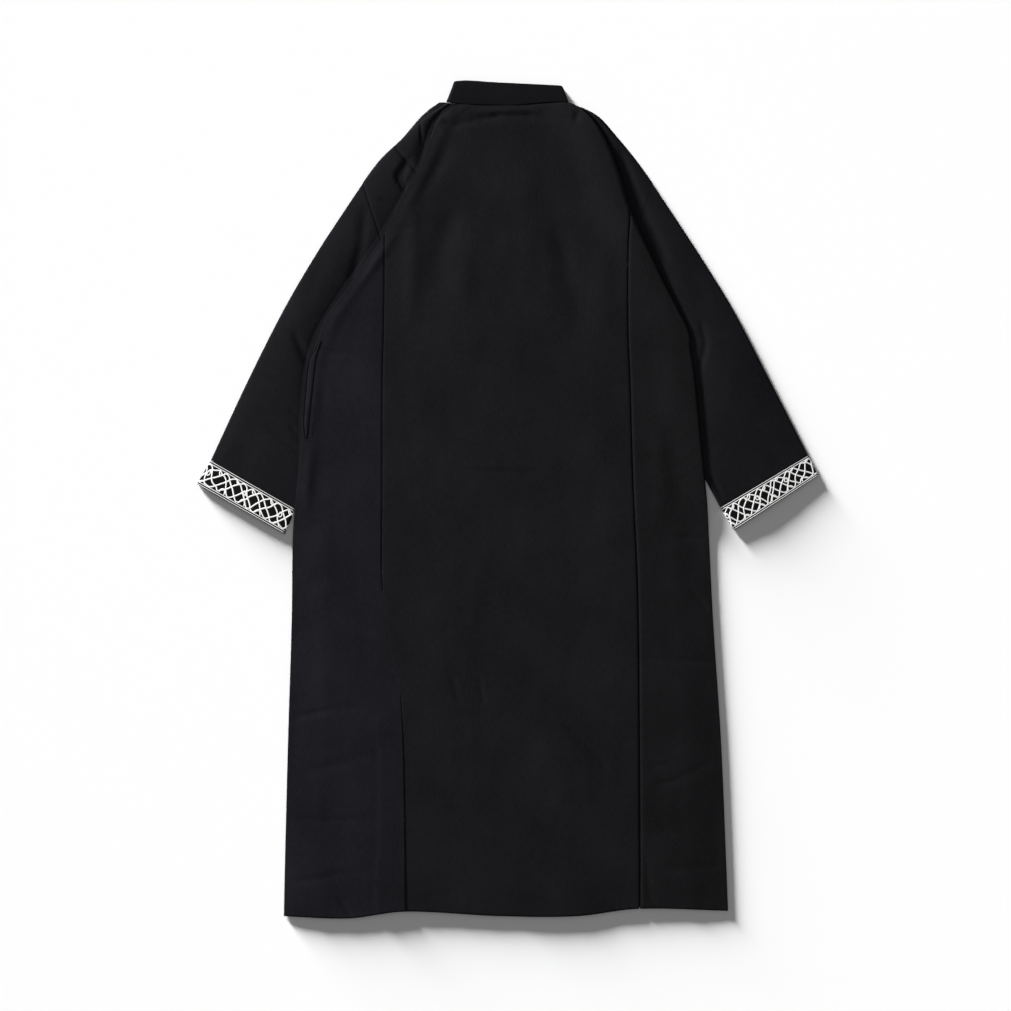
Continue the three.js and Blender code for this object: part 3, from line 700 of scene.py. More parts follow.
# ---------------------------------------------------------------------------
# Side panels: they widen from the arm to the hem and are sewn to the centre
# back. The left one ends in a vent whose flap laps over the centre; the right
# seam is left open as a slit. Their outer sides turn over on to the front.
FLAP_SHARES = [0.15, 0.3, 0.4, 0.45, 0.5, 0.55, 0.65, 0.75, 0.85, 0.94, 1.0]
FLAP_DIP = (0.45, 0.95)  # shares of the flap between which it dips beneath the centre
FLAP_RISE = (16 * MM, 3 * MM)  # distances before the seam between which the panel rises to the flap
# Each panel has its own colour of the same suiting: the left one is painted lighter, a painted light from
# the lamp at the left, and the right one darker, a painted shade.
SIDES = [
    {"side": "left", "inward": 1, "color": (0.0089, 0.0086, 0.0114)},
    {"side": "right", "inward": -1, "color": (0.0075, 0.0075, 0.0085)},
]
SIDE_SEAM = {
    "left": {"depth": 1.1 * MM, "width": 1.8 * MM},
    "right": {"depth": 1.8 * MM, "width": 2.6 * MM},
}
SIDE_ACROSS = 46
SIDE_SHARE = 0.45  # of a panel's width, at most, for the closer points of one side


def side_columns(side, level, seam, inward):
    """Places across a side panel, closer beside its edge and its seam; at its top all draw together."""
    edge = edge_row(level)[side]
    room = max((seam - edge) * inward, 0.0)
    nose = nose_offsets(side, level)
    nose_fit = min(1.0, SIDE_SHARE * room / nose[-1])
    seam_fit = min(1.0, SIDE_SHARE * room / SEAM_OFFSETS[-1])
    outer = [edge + inward * n * nose_fit for n in nose]
    inner = [edge + inward * (room - n * seam_fit) for n in reversed(SEAM_OFFSETS)]
    return outer + steps(outer[-1], inner[0], SIDE_ACROSS)[1:-1] + inner


def flap_lift(x, level, seam):
    """How far the left panel rises beside its seam, up to the flap."""
    down = smoothstep(VENT_CLOSED, VENT_FROM, level)
    near_seam = smoothstep(seam - FLAP_RISE[0], seam - FLAP_RISE[1], x)
    return (FLAP_LIFT * down - flap_pressed(level)) * near_seam


for form in SIDES:
    side, inward = form["side"], form["inward"]
    open_levels = [level for level in LEVELS if not is_folded(side, level)]
    rows = []
    for level in open_levels + [LEVELS[len(open_levels)]]:
        seam = between(SEAMS, "y", level, side) - inward * seam_gap(side, level) / 2
        open_vent = side == "left" and level < VENT_FROM
        panel = []
        for x in side_columns(side, level, seam, inward):
            closed = smoothstep(VENT_FROM, VENT_CLOSED, level) if side == "left" else 1
            lift = closed * groove(seam - x, **SIDE_SEAM[side])
            lift += flap_lift(x, level, seam) if side == "left" else 0
            panel.append(back_point(x, level, lift))
        if side == "left":
            flap_edge = between(FLAP_EDGE, "y", level, "x")
            for share in FLAP_SHARES:
                x = lerp(seam, flap_edge, share)
                dip = FLAP_LIFT * flap_tuck(level) * smoothstep(*FLAP_DIP, share)
                lift = FLAP_LIFT - flap_pressed(level) - dip
                panel.append(back_point(x, level, lift) if open_vent else None)
        row = turned_edge(side, level) + panel
        rows.append(row if side == "left" else row[::-1])
    panel_cloth = cloth_rows(f"side_{side}_cloth", rows, CLOTH)
    dress(panel_cloth, black_suiting(f"side_{side}_suiting", form["color"]), f"side_{side}")

# ---------------------------------------------------------------------------
# Front: the robe lies on it, so it is flat. It is one plain panel here, open
# down the middle from the neck, and the sleeves meet it along the armholes.

# Sections down the sleeves and shoulders in millimetres, from the outer side to the inner one, and
# the share of each that shows beyond the back
SLEEVES = {
    "left": [
        {"out_x": -239, "out_y": 521, "in_x": -197, "in_y": 392, "open": 0.7},
        {"out_x": -311, "out_y": 412, "in_x": -243, "in_y": 300, "open": 0.61},
        {"out_x": -369, "out_y": 313, "in_x": -280, "in_y": 205, "open": 0.55},
        {"out_x": -429, "out_y": 194, "in_x": -305, "in_y": 115, "open": 0.75},
        {"out_x": -489, "out_y": 65, "in_x": -349, "in_y": -15, "open": 1.1},
    ],
    "right": [
        {"out_x": 239, "out_y": 521, "in_x": 197, "in_y": 392, "open": 0.58},
        {"out_x": 311, "out_y": 412, "in_x": 240, "in_y": 300, "open": 0.62},
        {"out_x": 372, "out_y": 313, "in_x": 270, "in_y": 205, "open": 0.66},
        {"out_x": 436, "out_y": 190, "in_x": 290, "in_y": 108, "open": 0.81},
        {"out_x": 495.5, "out_y": 73.5, "in_x": 350.5, "in_y": -12.5, "open": 1.15},
    ],
}
SHOULDERS = {
    "left": [
        {"out_x": -99, "out_y": 654.5, "in_x": -74, "in_y": 634, "open": 0.2},
        {"out_x": -137.5, "out_y": 629.5, "in_x": -86, "in_y": 600, "open": 0.3},
        {"out_x": -177.5, "out_y": 591.5, "in_x": -108, "in_y": 545, "open": 0.56},
        {"out_x": -210.5, "out_y": 560, "in_x": -143, "in_y": 478, "open": 0.64},
        {"out_x": -239, "out_y": 522, "in_x": -197, "in_y": 393, "open": 0.7},
    ],
    "right": [
        {"out_x": 121, "out_y": 647.5, "in_x": 104, "in_y": 626, "open": 0.12},
        {"out_x": 151, "out_y": 631, "in_x": 120, "in_y": 590, "open": 0.24},
        {"out_x": 180, "out_y": 599, "in_x": 142, "in_y": 535, "open": 0.33},
        {"out_x": 212, "out_y": 560, "in_x": 160, "in_y": 475, "open": 0.44},
        {"out_x": 239, "out_y": 522, "in_x": 197, "in_y": 393, "open": 0.58},
    ],
}
FRONT_COLUMNS = 14
FRONT_CELL = 10 * MM
FRONT_INSET = 4 * MM  # how far inside the back's sides the front ends
FRONT_HEM_INSET = 2 * MM
SLIT_HALF = 0.4 * MM
NECK_SLIT_LENGTH = 220 * MM
ARM_CLEARANCE = 2.5 * MM


def section_at(sections, share):
    """A row of a table of sections, share of the way down it, every column on a smooth curve."""
    place = share * (len(sections) - 1)
    last = len(sections) - 1
    first = min(max(int(place), 0), last - 1)
    before, a = sections[max(first - 1, 0)], sections[first]
    b, after = sections[first + 1], sections[min(first + 2, last)]
    u = place - first
    section = {}
    for name in a:
        scale = 1 if name == "open" else MM
        slope_a, slope_b = (b[name] - before[name]) / 2, (after[name] - a[name]) / 2
        cubic = 2 * a[name] - 2 * b[name] + slope_a + slope_b
        square = 3 * b[name] - 3 * a[name] - 2 * slope_a - slope_b
        section[name] = (((cubic * u + square) * u + slope_a) * u + a[name]) * scale
    return section


def front_edge(side, y):
    """Side of the front at a height: at the shoulder's edge, at the armhole, then beside the sleeve."""
    shoulder, sleeve = SHOULDERS[side], SLEEVES[side]
    top, bottom = sleeve[0]["out_y"] * MM, sleeve[0]["in_y"] * MM
    sign = -1 if side == "left" else 1
    body = abs(edge_row(y)[side]) - FRONT_INSET
    if y > top:
        return sign * (abs(between(shoulder, "out_y", y, "out_x")) - SLIT_HALF)
    if y > bottom:
        share = (y - bottom) / (top - bottom)
        return lerp(sleeve[0]["in_x"], sleeve[0]["out_x"], share) * MM - sign * ARM_CLEARANCE
    if y > sleeve[-1]["in_y"] * MM:
        return sign * min(abs(between(sleeve, "in_y", y, "in_x")) - ARM_CLEARANCE, body)
    return sign * body


def along_front(left, right):
    """Places across the front, with a narrow strip down the middle for the slit."""
    return steps(left, -SLIT_HALF, FRONT_COLUMNS) + steps(SLIT_HALF, right, FRONT_COLUMNS)


rows = []
for level in rows_of(HEM_LEVEL + FRONT_HEM_INSET, NECK_LEVEL, FRONT_CELL):
    sides = front_edge("left", level), front_edge("right", level)
    rows.append([Vector((x, row_y(level, x), FRONT_TOP)) for x in along_front(*sides)])
front = cloth_rows("front_cloth", rows, FRONT_TOP)
bm = bmesh.new()
bm.from_mesh(front.data)
slit = []
for face in bm.faces:
    middle = face.calc_center_median()
    if abs(middle.x) < SLIT_HALF and middle.y > NECK_LEVEL - NECK_SLIT_LENGTH:
        slit.append(face)
bmesh.ops.delete(bm, geom=slit, context="FACES_ONLY")
bm.to_mesh(front.data)
bm.free()
dress(front, black_suiting("front_suiting", (0.0081, 0.0081, 0.0096)), "front")

# ---------------------------------------------------------------------------
# Shoulders: the stretch of back between the neck and each sleeve that shows
# beyond the slanting fold. Same suiting; hidden below the back further in.
COVER = 0.06  # share of an arm's width that stays flat beside the fold of the back
MOST_SHOWN = 0.85  # share of an arm's width that has close points, at most
SHOULDER_LOFT = 2.8 * MM
SHOULDER_LENGTH = 180 * MM
SHOULDER_RIM = {"height": 2.3 * MM, "width": 2.2 * MM}  # the shoulder's rounded outer edge
SHOULDER_ROWS = 130
SHOULDER_COLUMNS = 60
ARCH_POWER = 0.7  # below 1 the arch of an arm is fuller than half a wave
ARM_FREE = 0.1  # share of the shown width over which creases set in
ARM_WAVES = 0.6  # share of the back's soft waves that an arm has
LEAST_TOP = 1.3 * MM + CLOTH  # lowest height of an arm's upper side
ARM_SEAM = {
    "left": {"depth": 0.7 * MM, "width": 3 * MM},
    "right": {"depth": 0.03 * MM, "width": 3 * MM},
}
ARM_CREASES = [
    {"x1": -144, "y1": 622, "x2": -143, "y2": 588, "width": 1.8, "soft": 2.4, "rise": -1.8},
    {"x1": -136, "y1": 598, "x2": -146, "y2": 560, "width": 9, "rise": -2.0},
    {"x1": -148, "y1": 540, "x2": -189, "y2": 586, "width": 1.8, "soft": 2.2, "rise": -2.6},
    {"x1": -166, "y1": 558, "x2": -181, "y2": 530, "width": 6, "soft": 1.5, "rise": -4.4},
    {"x1": -181, "y1": 536, "x2": -170, "y2": 510, "width": 5, "soft": 1.5, "rise": -3.4},
    {"x1": -178, "y1": 486, "x2": -208, "y2": 496, "width": 2.4, "soft": 2.2, "rise": -1.4},
    {"x1": -235, "y1": 476, "x2": -242, "y2": 413, "width": 9, "rise": -2.4},
    {"x1": -242, "y1": 413, "x2": -258, "y2": 362, "width": 8, "rise": -2.4},
    {"x1": -300, "y1": 400, "x2": -330, "y2": 330, "width": 14, "rise": -0.9},
    {"x1": -351, "y1": 274, "x2": -330, "y2": 226, "width": 7, "rise": -2.6},
    {"x1": -359, "y1": 148, "x2": -340, "y2": 132, "width": 3.5, "rise": -1.6},
    {"x1": -359, "y1": 121, "x2": -341, "y2": 101, "width": 4, "rise": -1.6},
    {"x1": -398, "y1": 121, "x2": -346, "y2": 84, "width": 6, "rise": -1.9},
    {"x1": -430, "y1": 150, "x2": -470, "y2": 60, "width": 16, "rise": 1.0},
    {"x1": 164, "y1": 578, "x2": 198, "y2": 498, "width": 8, "rise": -3.0},
    {"x1": 184, "y1": 577, "x2": 200, "y2": 528, "width": 8, "rise": -2.6},
    {"x1": 199, "y1": 530, "x2": 230, "y2": 461, "width": 9, "rise": -2.6},
    {"x1": 230, "y1": 461, "x2": 261, "y2": 395, "width": 9, "rise": -2.4},
    {"x1": 300, "y1": 380, "x2": 330, "y2": 320, "width": 14, "rise": -0.9},
    {"x1": 319, "y1": 291, "x2": 327, "y2": 257, "width": 6, "rise": -2.0},
    {"x1": 327, "y1": 257, "x2": 319, "y2": 222, "width": 6, "rise": -2.0},
    {"x1": 326.7, "y1": 45.4, "x2": 339.1, "y2": 30.5, "width": 4, "rise": -1.8},
    {"x1": 339.1, "y1": 30.5, "x2": 352.3, "y2": 7.4, "width": 4, "rise": -1.8},
    {"x1": 400, "y1": 130, "x2": 452, "y2": 50, "width": 15, "rise": -0.9},
]


def shares_across(open_share, start, end, count):
    """Places across an arm, closer where it shows than below the back."""
    edge = min(open_share - COVER, MOST_SHOWN)
    return steps(start, edge, count) + steps(edge, end, count // 3)[1:]


def arm_rise(x, y, share, open_share, loft):
    """Rise above a shoulder's or sleeve's pressed edges: a low arch where it shows, with its creases."""
    shown = min(max(share / (open_share - COVER), 0.0), 1.0)
    arch = max(math.sin(math.pi * shown), 0.0) ** ARCH_POWER
    free = smoothstep(0, ARM_FREE, shown)
    rise = arch * (loft + ARM_WAVES * drape(x, y)) + free * creases_at(x, y, ARM_CREASES)
    return min(rise, 0.0) if shown == 1 else max(rise, LEAST_TOP - UNDER_TOP)


def arm_length(side):
    """Length of a sleeve along its outer side."""
    start, end = SLEEVES[side][0], SLEEVES[side][-1]
    return math.hypot(end["out_x"] - start["out_x"], end["out_y"] - start["out_y"]) * MM


def faces_out(side, rows):
    """The rows in the order that turns the faces outwards on that side of the robe."""
    return rows[::-1] if side == "left" else rows


arm_suiting = black_suiting("arm_suiting", (0.0078, 0.0076, 0.0094), 30)
for side in ("left", "right"):
    rows = []
    for share_down in steps(0, 1, SHOULDER_ROWS):
        form = section_at(SHOULDERS[side], share_down)
        across = math.hypot(form["out_x"] - form["in_x"], form["out_y"] - form["in_y"])
        to_seam = (1 - share_down) * SHOULDER_LENGTH
        row = []
        for share in shares_across(form["open"], 0, 1, SHOULDER_COLUMNS):
            x = lerp(form["out_x"], form["in_x"], share)
            y = lerp(form["out_y"], form["in_y"], share)
            rim = math.exp(-share * across / SHOULDER_RIM["width"])
            edge_drop = (UNDER_TOP - SHOULDER_RIM["height"]) * rim
            rise = arm_rise(x, y, share, form["open"], SHOULDER_LOFT)
            row.append(Vector((x, y, UNDER_TOP - edge_drop + rise + groove(to_seam, **ARM_SEAM[side]))))
        rows.append(row)
    shoulder = cloth_rows(f"shoulder_{side}_cloth", faces_out(side, rows), CLOTH)
    dress(shoulder, arm_suiting, f"shoulder_{side}")

# ---------------------------------------------------------------------------
# Sleeves: straight tubes that narrow to the cuff bands, turned down beside the
# body and pressed flat, sewn to the armholes. The underarm side is below the back.
ON_TABLE = 0.1 * MM  # height of the cloth that lies on the table
SLEEVE_LOFT = 4.2 * MM
CUFF_END_LOFT = 2.2 * MM
LOFT_SHARES = {"shoulder": (0, 0.3), "cuff": (0.7, 1)}  # parts of the length where the loft changes
SLEEVE_ROWS = 150
SLEEVE_POINTS = (46, 6, 14)  # over the top, round a side, and below
# The sleeve's end, sewn under the shoulder's, and how far from the seam it comes out
TUCK = {"share": 0.003, "depth": 1.2 * MM, "run": 1 * MM}
TUCK_ENDS = {"left": 0.4 * MM, "right": 0.0}


def tube_section(form, edge_top, loft, counts):
    """Points round a flattened tube: over the top, round the inner side, below, round the outer."""
    width = math.hypot(form["in_x"] - form["out_x"], form["in_y"] - form["out_y"])
    radius = edge_top / 2
    over, turn, under = counts

    def at(distance, z):
        share = distance / width
        x = lerp(form["out_x"], form["in_x"], share)
        return Vector((x, lerp(form["out_y"], form["in_y"], share), z))

    points = []
    for share in shares_across(form["open"], radius / width, 1 - radius / width, over):
        point = at(share * width, edge_top)
        point.z += arm_rise(point.x, point.y, share, form["open"], loft)
        points.append(point)
    for n in range(1, turn):
        angle = math.pi / 2 - math.pi * n / turn
        points.append(at(width - radius + radius * math.cos(angle), radius * (1 + math.sin(angle))))
    points += [at(distance, ON_TABLE) for distance in steps(width - radius, radius, under)]
    for n in range(1, turn):
        angle = -math.pi / 2 + math.pi * n / turn
        points.append(at(radius - radius * math.cos(angle), radius * (1 + math.sin(angle))))
    return points


for side in ("left", "right"):
    length = arm_length(side)
    near_seam = [-TUCK["share"], -TUCK["share"] / 3, TUCK["share"] / 3, TUCK["share"]]
    rows = []
    for share_down in near_seam + steps(2 * TUCK["share"], 1, SLEEVE_ROWS):
        from_seam = share_down * length
        edge_top = UNDER_TOP + groove(from_seam, **ARM_SEAM[side])
        tuck_end = TUCK_ENDS[side]
        edge_top -= TUCK["depth"] * smoothstep(tuck_end, tuck_end - TUCK["run"], from_seam)
        loft = lerp(SHOULDER_LOFT, SLEEVE_LOFT, smoothstep(*LOFT_SHARES["shoulder"], share_down))
        loft = lerp(loft, CUFF_END_LOFT, smoothstep(*LOFT_SHARES["cuff"], share_down))
        rows.append(tube_section(section_at(SLEEVES[side], share_down), edge_top, loft, SLEEVE_POINTS))
    sleeve = cloth_rows(f"sleeve_{side}_cloth", faces_out(side, rows), CLOTH, closed=True)
    dress(sleeve, arm_suiting, f"sleeve_{side}")

# ---------------------------------------------------------------------------
# Collar: a stiffened stand band, two layers of suiting turned in at the top,
# sewn round the neck and open at the middle of the front. It lies pressed flat.
COLLAR_EDGE = [
    {"x": -89, "y": 689},
    {"x": -67, "y": 690.3},
    {"x": -16, "y": 687.2},
    {"x": 87, "y": 682},
    {"x": 92, "y": 680.5},
]
COLLAR = {"left": -101 * MM, "right": 101.5 * MM, "left_top": -88 * MM, "right_top": 91 * MM}
COLLAR_TOP = 6.8 * MM
COLLAR_BELLY = {"rise": 1.4 * MM, "from": 0.15, "to": 0.85}  # half waves of the bulge at both edges
COLLAR_ABOVE_SEAM = 0.5 * MM
COLLAR_WAVES = {"depth": 0.5 * MM, "turns": 30}
COLLAR_WALL = 2.0 * MM
COLLAR_ROWS = 14
COLLAR_TURN = 8
COLLAR_FRONT = 24
COLLAR_BACK = 56


def collar_row(up):
    """Points round the neckband, from the middle of the front round the back to the middle again."""
    left = lerp(COLLAR["left"], COLLAR["left_top"], up)
    right = lerp(COLLAR["right"], COLLAR["right_top"], up)
    radius = COLLAR_TOP / 2
    belly = COLLAR_BELLY["rise"] * math.sin(math.pi * lerp(COLLAR_BELLY["from"], COLLAR_BELLY["to"], up))
    places = [(x, ON_TABLE) for x in steps(-SLIT_HALF, left + radius, COLLAR_FRONT)]
    for n in range(1, COLLAR_TURN):
        angle = math.radians(-90 + 180 * n / COLLAR_TURN)
        places.append((left + radius - radius * math.cos(angle), radius * (1 + math.sin(angle))))
    places += [(x, COLLAR_TOP + belly) for x in steps(left + radius, right - radius, COLLAR_BACK)]
    for n in range(1, COLLAR_TURN):
        angle = math.radians(90 - 180 * n / COLLAR_TURN)
        places.append((right - radius + radius * math.cos(angle), radius * (1 + math.sin(angle))))
    places += [(x, ON_TABLE) for x in steps(right - radius, SLIT_HALF, COLLAR_FRONT)]
    depth, turns = COLLAR_WAVES["depth"], COLLAR_WAVES["turns"]
    row = []
    for x, z in places:
        y = lerp(between(NECK, "x", x, "y") + COLLAR_ABOVE_SEAM, between(COLLAR_EDGE, "x", x, "y"), up)
        wave = depth * noise.noise(Vector((x * turns, y * turns, 9))) * smoothstep(0, COLLAR_TOP, z)
        row.append(Vector((x, y, z + wave)))
    return row


collar = cloth_rows("collar_cloth", [collar_row(up) for up in steps(0, 1, COLLAR_ROWS)], COLLAR_WALL)
soft_edge = collar.modifiers.new("soft_edge", "BEVEL")
soft_edge.width = 0.6 * MM
soft_edge.segments = 3
soft_edge.limit_method = "ANGLE"
soft_edge.angle_limit = math.radians(50)
# The collar's suiting is darker than the rest of the robe's: a painted shade for the dimmer light at the
# top.
dress(collar, black_suiting("collar_suiting_with_painted_shade", (0.0052, 0.0052, 0.0062)), "collar")

# ---------------------------------------------------------------------------
# Cuff bands: a woven black ribbon round each sleeve end. White cord is laid on
# it in four waves that cross over and under each other, with arches and small
# rings in the cells between them, and straight border lines along both sides.
CUFFS = {
    "left": [
        {"out_x": -489.3, "out_y": 64.5, "in_x": -349.5, "in_y": -15.8, "open": 1.1},
        {"out_x": -512.3, "out_y": 25.5, "in_x": -367, "in_y": -57, "open": 1.1},
    ],
    "right": [
        {"out_x": 495.8, "out_y": 72.8, "in_x": 350.9, "in_y": -13.2, "open": 1.15},
        {"out_x": 512.3, "out_y": 39.5, "in_x": 373.5, "in_y": -50.5, "open": 1.15},
    ],
}
CUFF_TOP = 4.5 * MM
CUFF_WALL = 1.4 * MM
CUFF_LOFT = 2.2 * MM
CUFF_LEAST = 0.7 * MM  # lowest height of the band's outer side
CUFF_HEIGHT = 45 * MM  # across the band, where it is widest
CUFF_RINGS = 24
CUFF_POINTS = (40, 8, 30)  # over the top, round a side, and below
# Border lines, in millimetres
LINES = [
    {"across": 1.9, "width": 1.7},
    {"across": 6.6, "width": 1.7},
    {"across": 38.0, "width": 1.6},
    {"across": 42.3, "width": 1.6},
]
CORD = {"period": 61 * MM, "middle": 22.3 * MM, "reach": 14.0 * MM, "width": 2.3 * MM}
CORD_STARTS = [0, 0.2, 0.5, 0.72]  # shares of the period, so that wide and narrow cells take turns
CORD_PASS = 0.3 * MM  # how far a cord rises or dips where another crosses it
CORD_FLAT = 0.35  # height of a cord for its width
CORD_LIFT = 0.1 * MM
CORD_UNIT = 1.0 * MM  # radius of the round tube that each cord scales
WAVE = {"points": 60, "tip": 0.94, "cross": 4}  # a tip nearer to 1 is sharper
ROUND_POINTS = 14
LINE_POINTS = 120
LINE_STRAY = {"depth": 0.3 * MM, "turns": 30}
ARCH = {"radius": 4.6 * MM, "tall": 1.2, "width": 2.0 * MM}
ARCHES = [0.12, 0.62]  # where arches stand along the lower border, as shares of the period
ARCH_SHIFT = 0.25  # the same share further on along the upper border
RINGS = [{"along": 0.36, "across": -0.1}]  # shares of the period and of the reach
RING = {"radius": 3.0 * MM, "width": 1.8 * MM}
UNEVEN = 4.4 * MM  # how far the cords stray from an even lattice
UNEVEN_SCALE = 58  # turns of that straying to a metre
UNEVEN_BORDER = {"width": 6 * MM, "share": 0.15}  # beside the lines less of it goes across
CORD_TURN = 0.25  # a quarter turn puts the cords' ends on the side that the robe lies on
NEARBY = 0.004  # share of the way round that gives the direction along the band

ribbon = bpy.data.materials.new("cuff_ribbon")
ribbon.use_nodes = True
ribbon_shader = ribbon.node_tree.nodes["Principled BSDF"]
ribbon_shader.inputs["Specular IOR Level"].default_value = 0.06
(ribbon_weave,) = add_nodes(ribbon.node_tree, "Group")
ribbon_weave.node_tree = suiting
ribbon_weave.inputs["Dark"].default_value = (0.0035, 0.0035, 0.0037, 1)
ribbon_weave.inputs["Light"].default_value = (0.0065, 0.0065, 0.0068, 1)
ribbon.node_tree.links.new(ribbon_weave.outputs["Color"], ribbon_shader.inputs["Base Color"])
ribbon.node_tree.links.new(ribbon_weave.outputs["Roughness"], ribbon_shader.inputs["Roughness"])

cord_white = bpy.data.materials.new("white_cord")
cord_white.use_nodes = True
cord_tree = cord_white.node_tree
cord_shader = cord_tree.nodes["Principled BSDF"]
cord_shader.inputs["Roughness"].default_value = 0.8
cord_shader.inputs["Specular IOR Level"].default_value = 0.2
cord_place, cord_fibre, cord_tone, cord_bump = add_nodes(cord_tree, "TexCoord", "TexNoise", "Mix", "Bump")
cord_fibre.inputs["Scale"].default_value = 700
cord_tone.data_type = "RGBA"
socket(cord_tone.inputs, "A_Color").default_value = (0.84, 0.84, 0.83, 1)
socket(cord_tone.inputs, "B_Color").default_value = (0.98, 0.98, 0.97, 1)
cord_bump.inputs["Strength"].default_value = 0.15
cord_bump.inputs["Distance"].default_value = 0.1 * MM
cord_tree.links.new(cord_place.outputs["Object"], cord_fibre.inputs["Vector"])
cord_tree.links.new(cord_fibre.outputs["Fac"], socket(cord_tone.inputs, "Factor_Float"))
cord_tree.links.new(socket(cord_tone.outputs, "Result_Color"), cord_shader.inputs["Base Color"])
cord_tree.links.new(cord_fibre.outputs["Fac"], cord_bump.inputs["Height"])
cord_tree.links.new(cord_bump.outputs["Normal"], cord_shader.inputs["Normal"])


def laid_by_hand(u, v, height=0.0):
    """A point of the even lattice, moved a little so that its cells come out in different sizes."""
    from_border = min(v - LINES[1]["across"] * MM, LINES[2]["across"] * MM - v)
    across = lerp(UNEVEN_BORDER["share"], 1, smoothstep(0, UNEVEN_BORDER["width"], from_border))
    shift_u = noise.noise(Vector((u, v, 0)) * UNEVEN_SCALE + Vector((0, 0, 1.5)))
    shift_v = noise.noise(Vector((u, v, 0)) * UNEVEN_SCALE + Vector((0, 0, 6.5)))
    return u + UNEVEN * shift_u, v + UNEVEN * across * shift_v, height


def wave_cord(length, pitch, start):
    """One of the crossing waves, with rounded tips; it goes over and under the others in turn."""
    path = []
    for u in steps(0, length, round(length / pitch) * WAVE["points"]):
        angle = 2 * math.pi * (u / pitch + start)
        swing = math.asin(WAVE["tip"] * math.sin(angle)) / math.asin(WAVE["tip"])
        passing = math.cos(len(CORD_STARTS) * angle) * math.tanh(WAVE["cross"] * math.cos(angle))
        path.append(laid_by_hand(u, CORD["middle"] + CORD["reach"] * swing, CORD_PASS * passing))
    return {"path": path, "width": CORD["width"], "closed": False}


def round_cord(u, v, radius, tall, start, end, width):
    """An arch or ring about a point, from one angle to another in degrees."""
    path = []
    for angle in steps(math.radians(start), math.radians(end), ROUND_POINTS):
        point = u + radius * math.cos(angle), v + tall * radius * math.sin(angle)
        path.append(laid_by_hand(*point, CORD_LIFT))
    closed = end - start == 360
    return {"path": path[:-1] if closed else path, "width": width, "closed": closed}


def cord_paths(length):
    """All cords of a band of this length round, as flat paths of (along, across, height)."""
    repeats = round(length / CORD["period"])
    pitch = length / repeats
    cords = [wave_cord(length, pitch, start) for start in CORD_STARTS]
    for line in LINES:
        path = []
        for u in steps(0, length, LINE_POINTS):
            stray = LINE_STRAY["depth"] * noise.noise(Vector((u * LINE_STRAY["turns"], 2, 5)))
            path.append((u, line["across"] * MM + stray, 0.0))
        cords.append({"path": path, "width": line["width"] * MM, "closed": False})
    low, high = CORD["middle"] - CORD["reach"], CORD["middle"] + CORD["reach"]
    arch = (ARCH["radius"], ARCH["tall"])
    for number in range(repeats):
        for place in ARCHES:
            u = pitch * (number + place)
            cords.append(round_cord(u, low, *arch, 0, 180, ARCH["width"]))
            cords.append(round_cord(u + pitch * ARCH_SHIFT, high, *arch, 180, 360, ARCH["width"]))
        for ring in RINGS:
            middle = pitch * (number + ring["along"]), CORD["middle"] + CORD["reach"] * ring["across"]
            cords.append(round_cord(*middle, RING["radius"], 1, 0, 360, RING["width"]))
    return cords


def flat_cord_mesh(cords):
    """The cords as one mesh of round tubes, still flat: x along the band, y across, z above it."""
    curve = bpy.data.curves.new("flat_cords", "CURVE")
    curve.dimensions = "3D"
    curve.bevel_depth = CORD_UNIT
    curve.bevel_resolution = 1
    curve.use_fill_caps = True
    for cord in cords:
        spline = curve.splines.new("POLY")
        spline.points.add(len(cord["path"]) - 1)
        spline.use_cyclic_u = cord["closed"]
        for point, place in zip(spline.points, cord["path"]):
            point.co = (*place, 1)
            point.radius = cord["width"] / 2 / CORD_UNIT
    flat = bpy.data.objects.new("flat_cords", curve)
    bpy.context.collection.objects.link(flat)
    mesh = bpy.data.meshes.new_from_object(flat.evaluated_get(bpy.context.evaluated_depsgraph_get()))
    bpy.data.objects.remove(flat)
    return mesh


def cuff_loop(form):
    """A closed section of the cuff with the distance round it at every point."""
    loop = tube_section(form, CUFF_TOP, CUFF_LOFT, CUFF_POINTS)
    loop = [Vector((p.x, p.y, max(p.z, CUFF_LEAST))) for p in loop]
    lengths = [0.0]
    for n, point in enumerate(loop):
        lengths.append(lengths[-1] + (loop[(n + 1) % len(loop)] - point).length)
    return loop, lengths


def on_ring(ring, along):
    """A point of a cuff's section, along from 0 to 1 round it."""
    loop, lengths = ring
    distance = (along % 1.0) * lengths[-1]
    segment = bisect.bisect_right(lengths, distance) - 1
    part = (distance - lengths[segment]) / max(lengths[segment + 1] - lengths[segment], 1e-9)
    return loop[segment].lerp(loop[(segment + 1) % len(loop)], part)


def on_cuff(rings, side, along, share, rise):
    """A point above the cuff: along and share run from 0 to 1, round it and across the band."""
    place = min(max(share, 0.0), 1.0) * CUFF_RINGS
    first = min(int(place), CUFF_RINGS - 1)
    here = on_ring(rings[first], along).lerp(on_ring(rings[first + 1], along), place - first)
    around = on_ring(rings[first], along + NEARBY) - on_ring(rings[first], along - NEARBY)
    across = on_ring(rings[first + 1], along) - on_ring(rings[first], along)
    outward = across.cross(around).normalized() * (1 if side == "left" else -1)
    return here + outward * rise


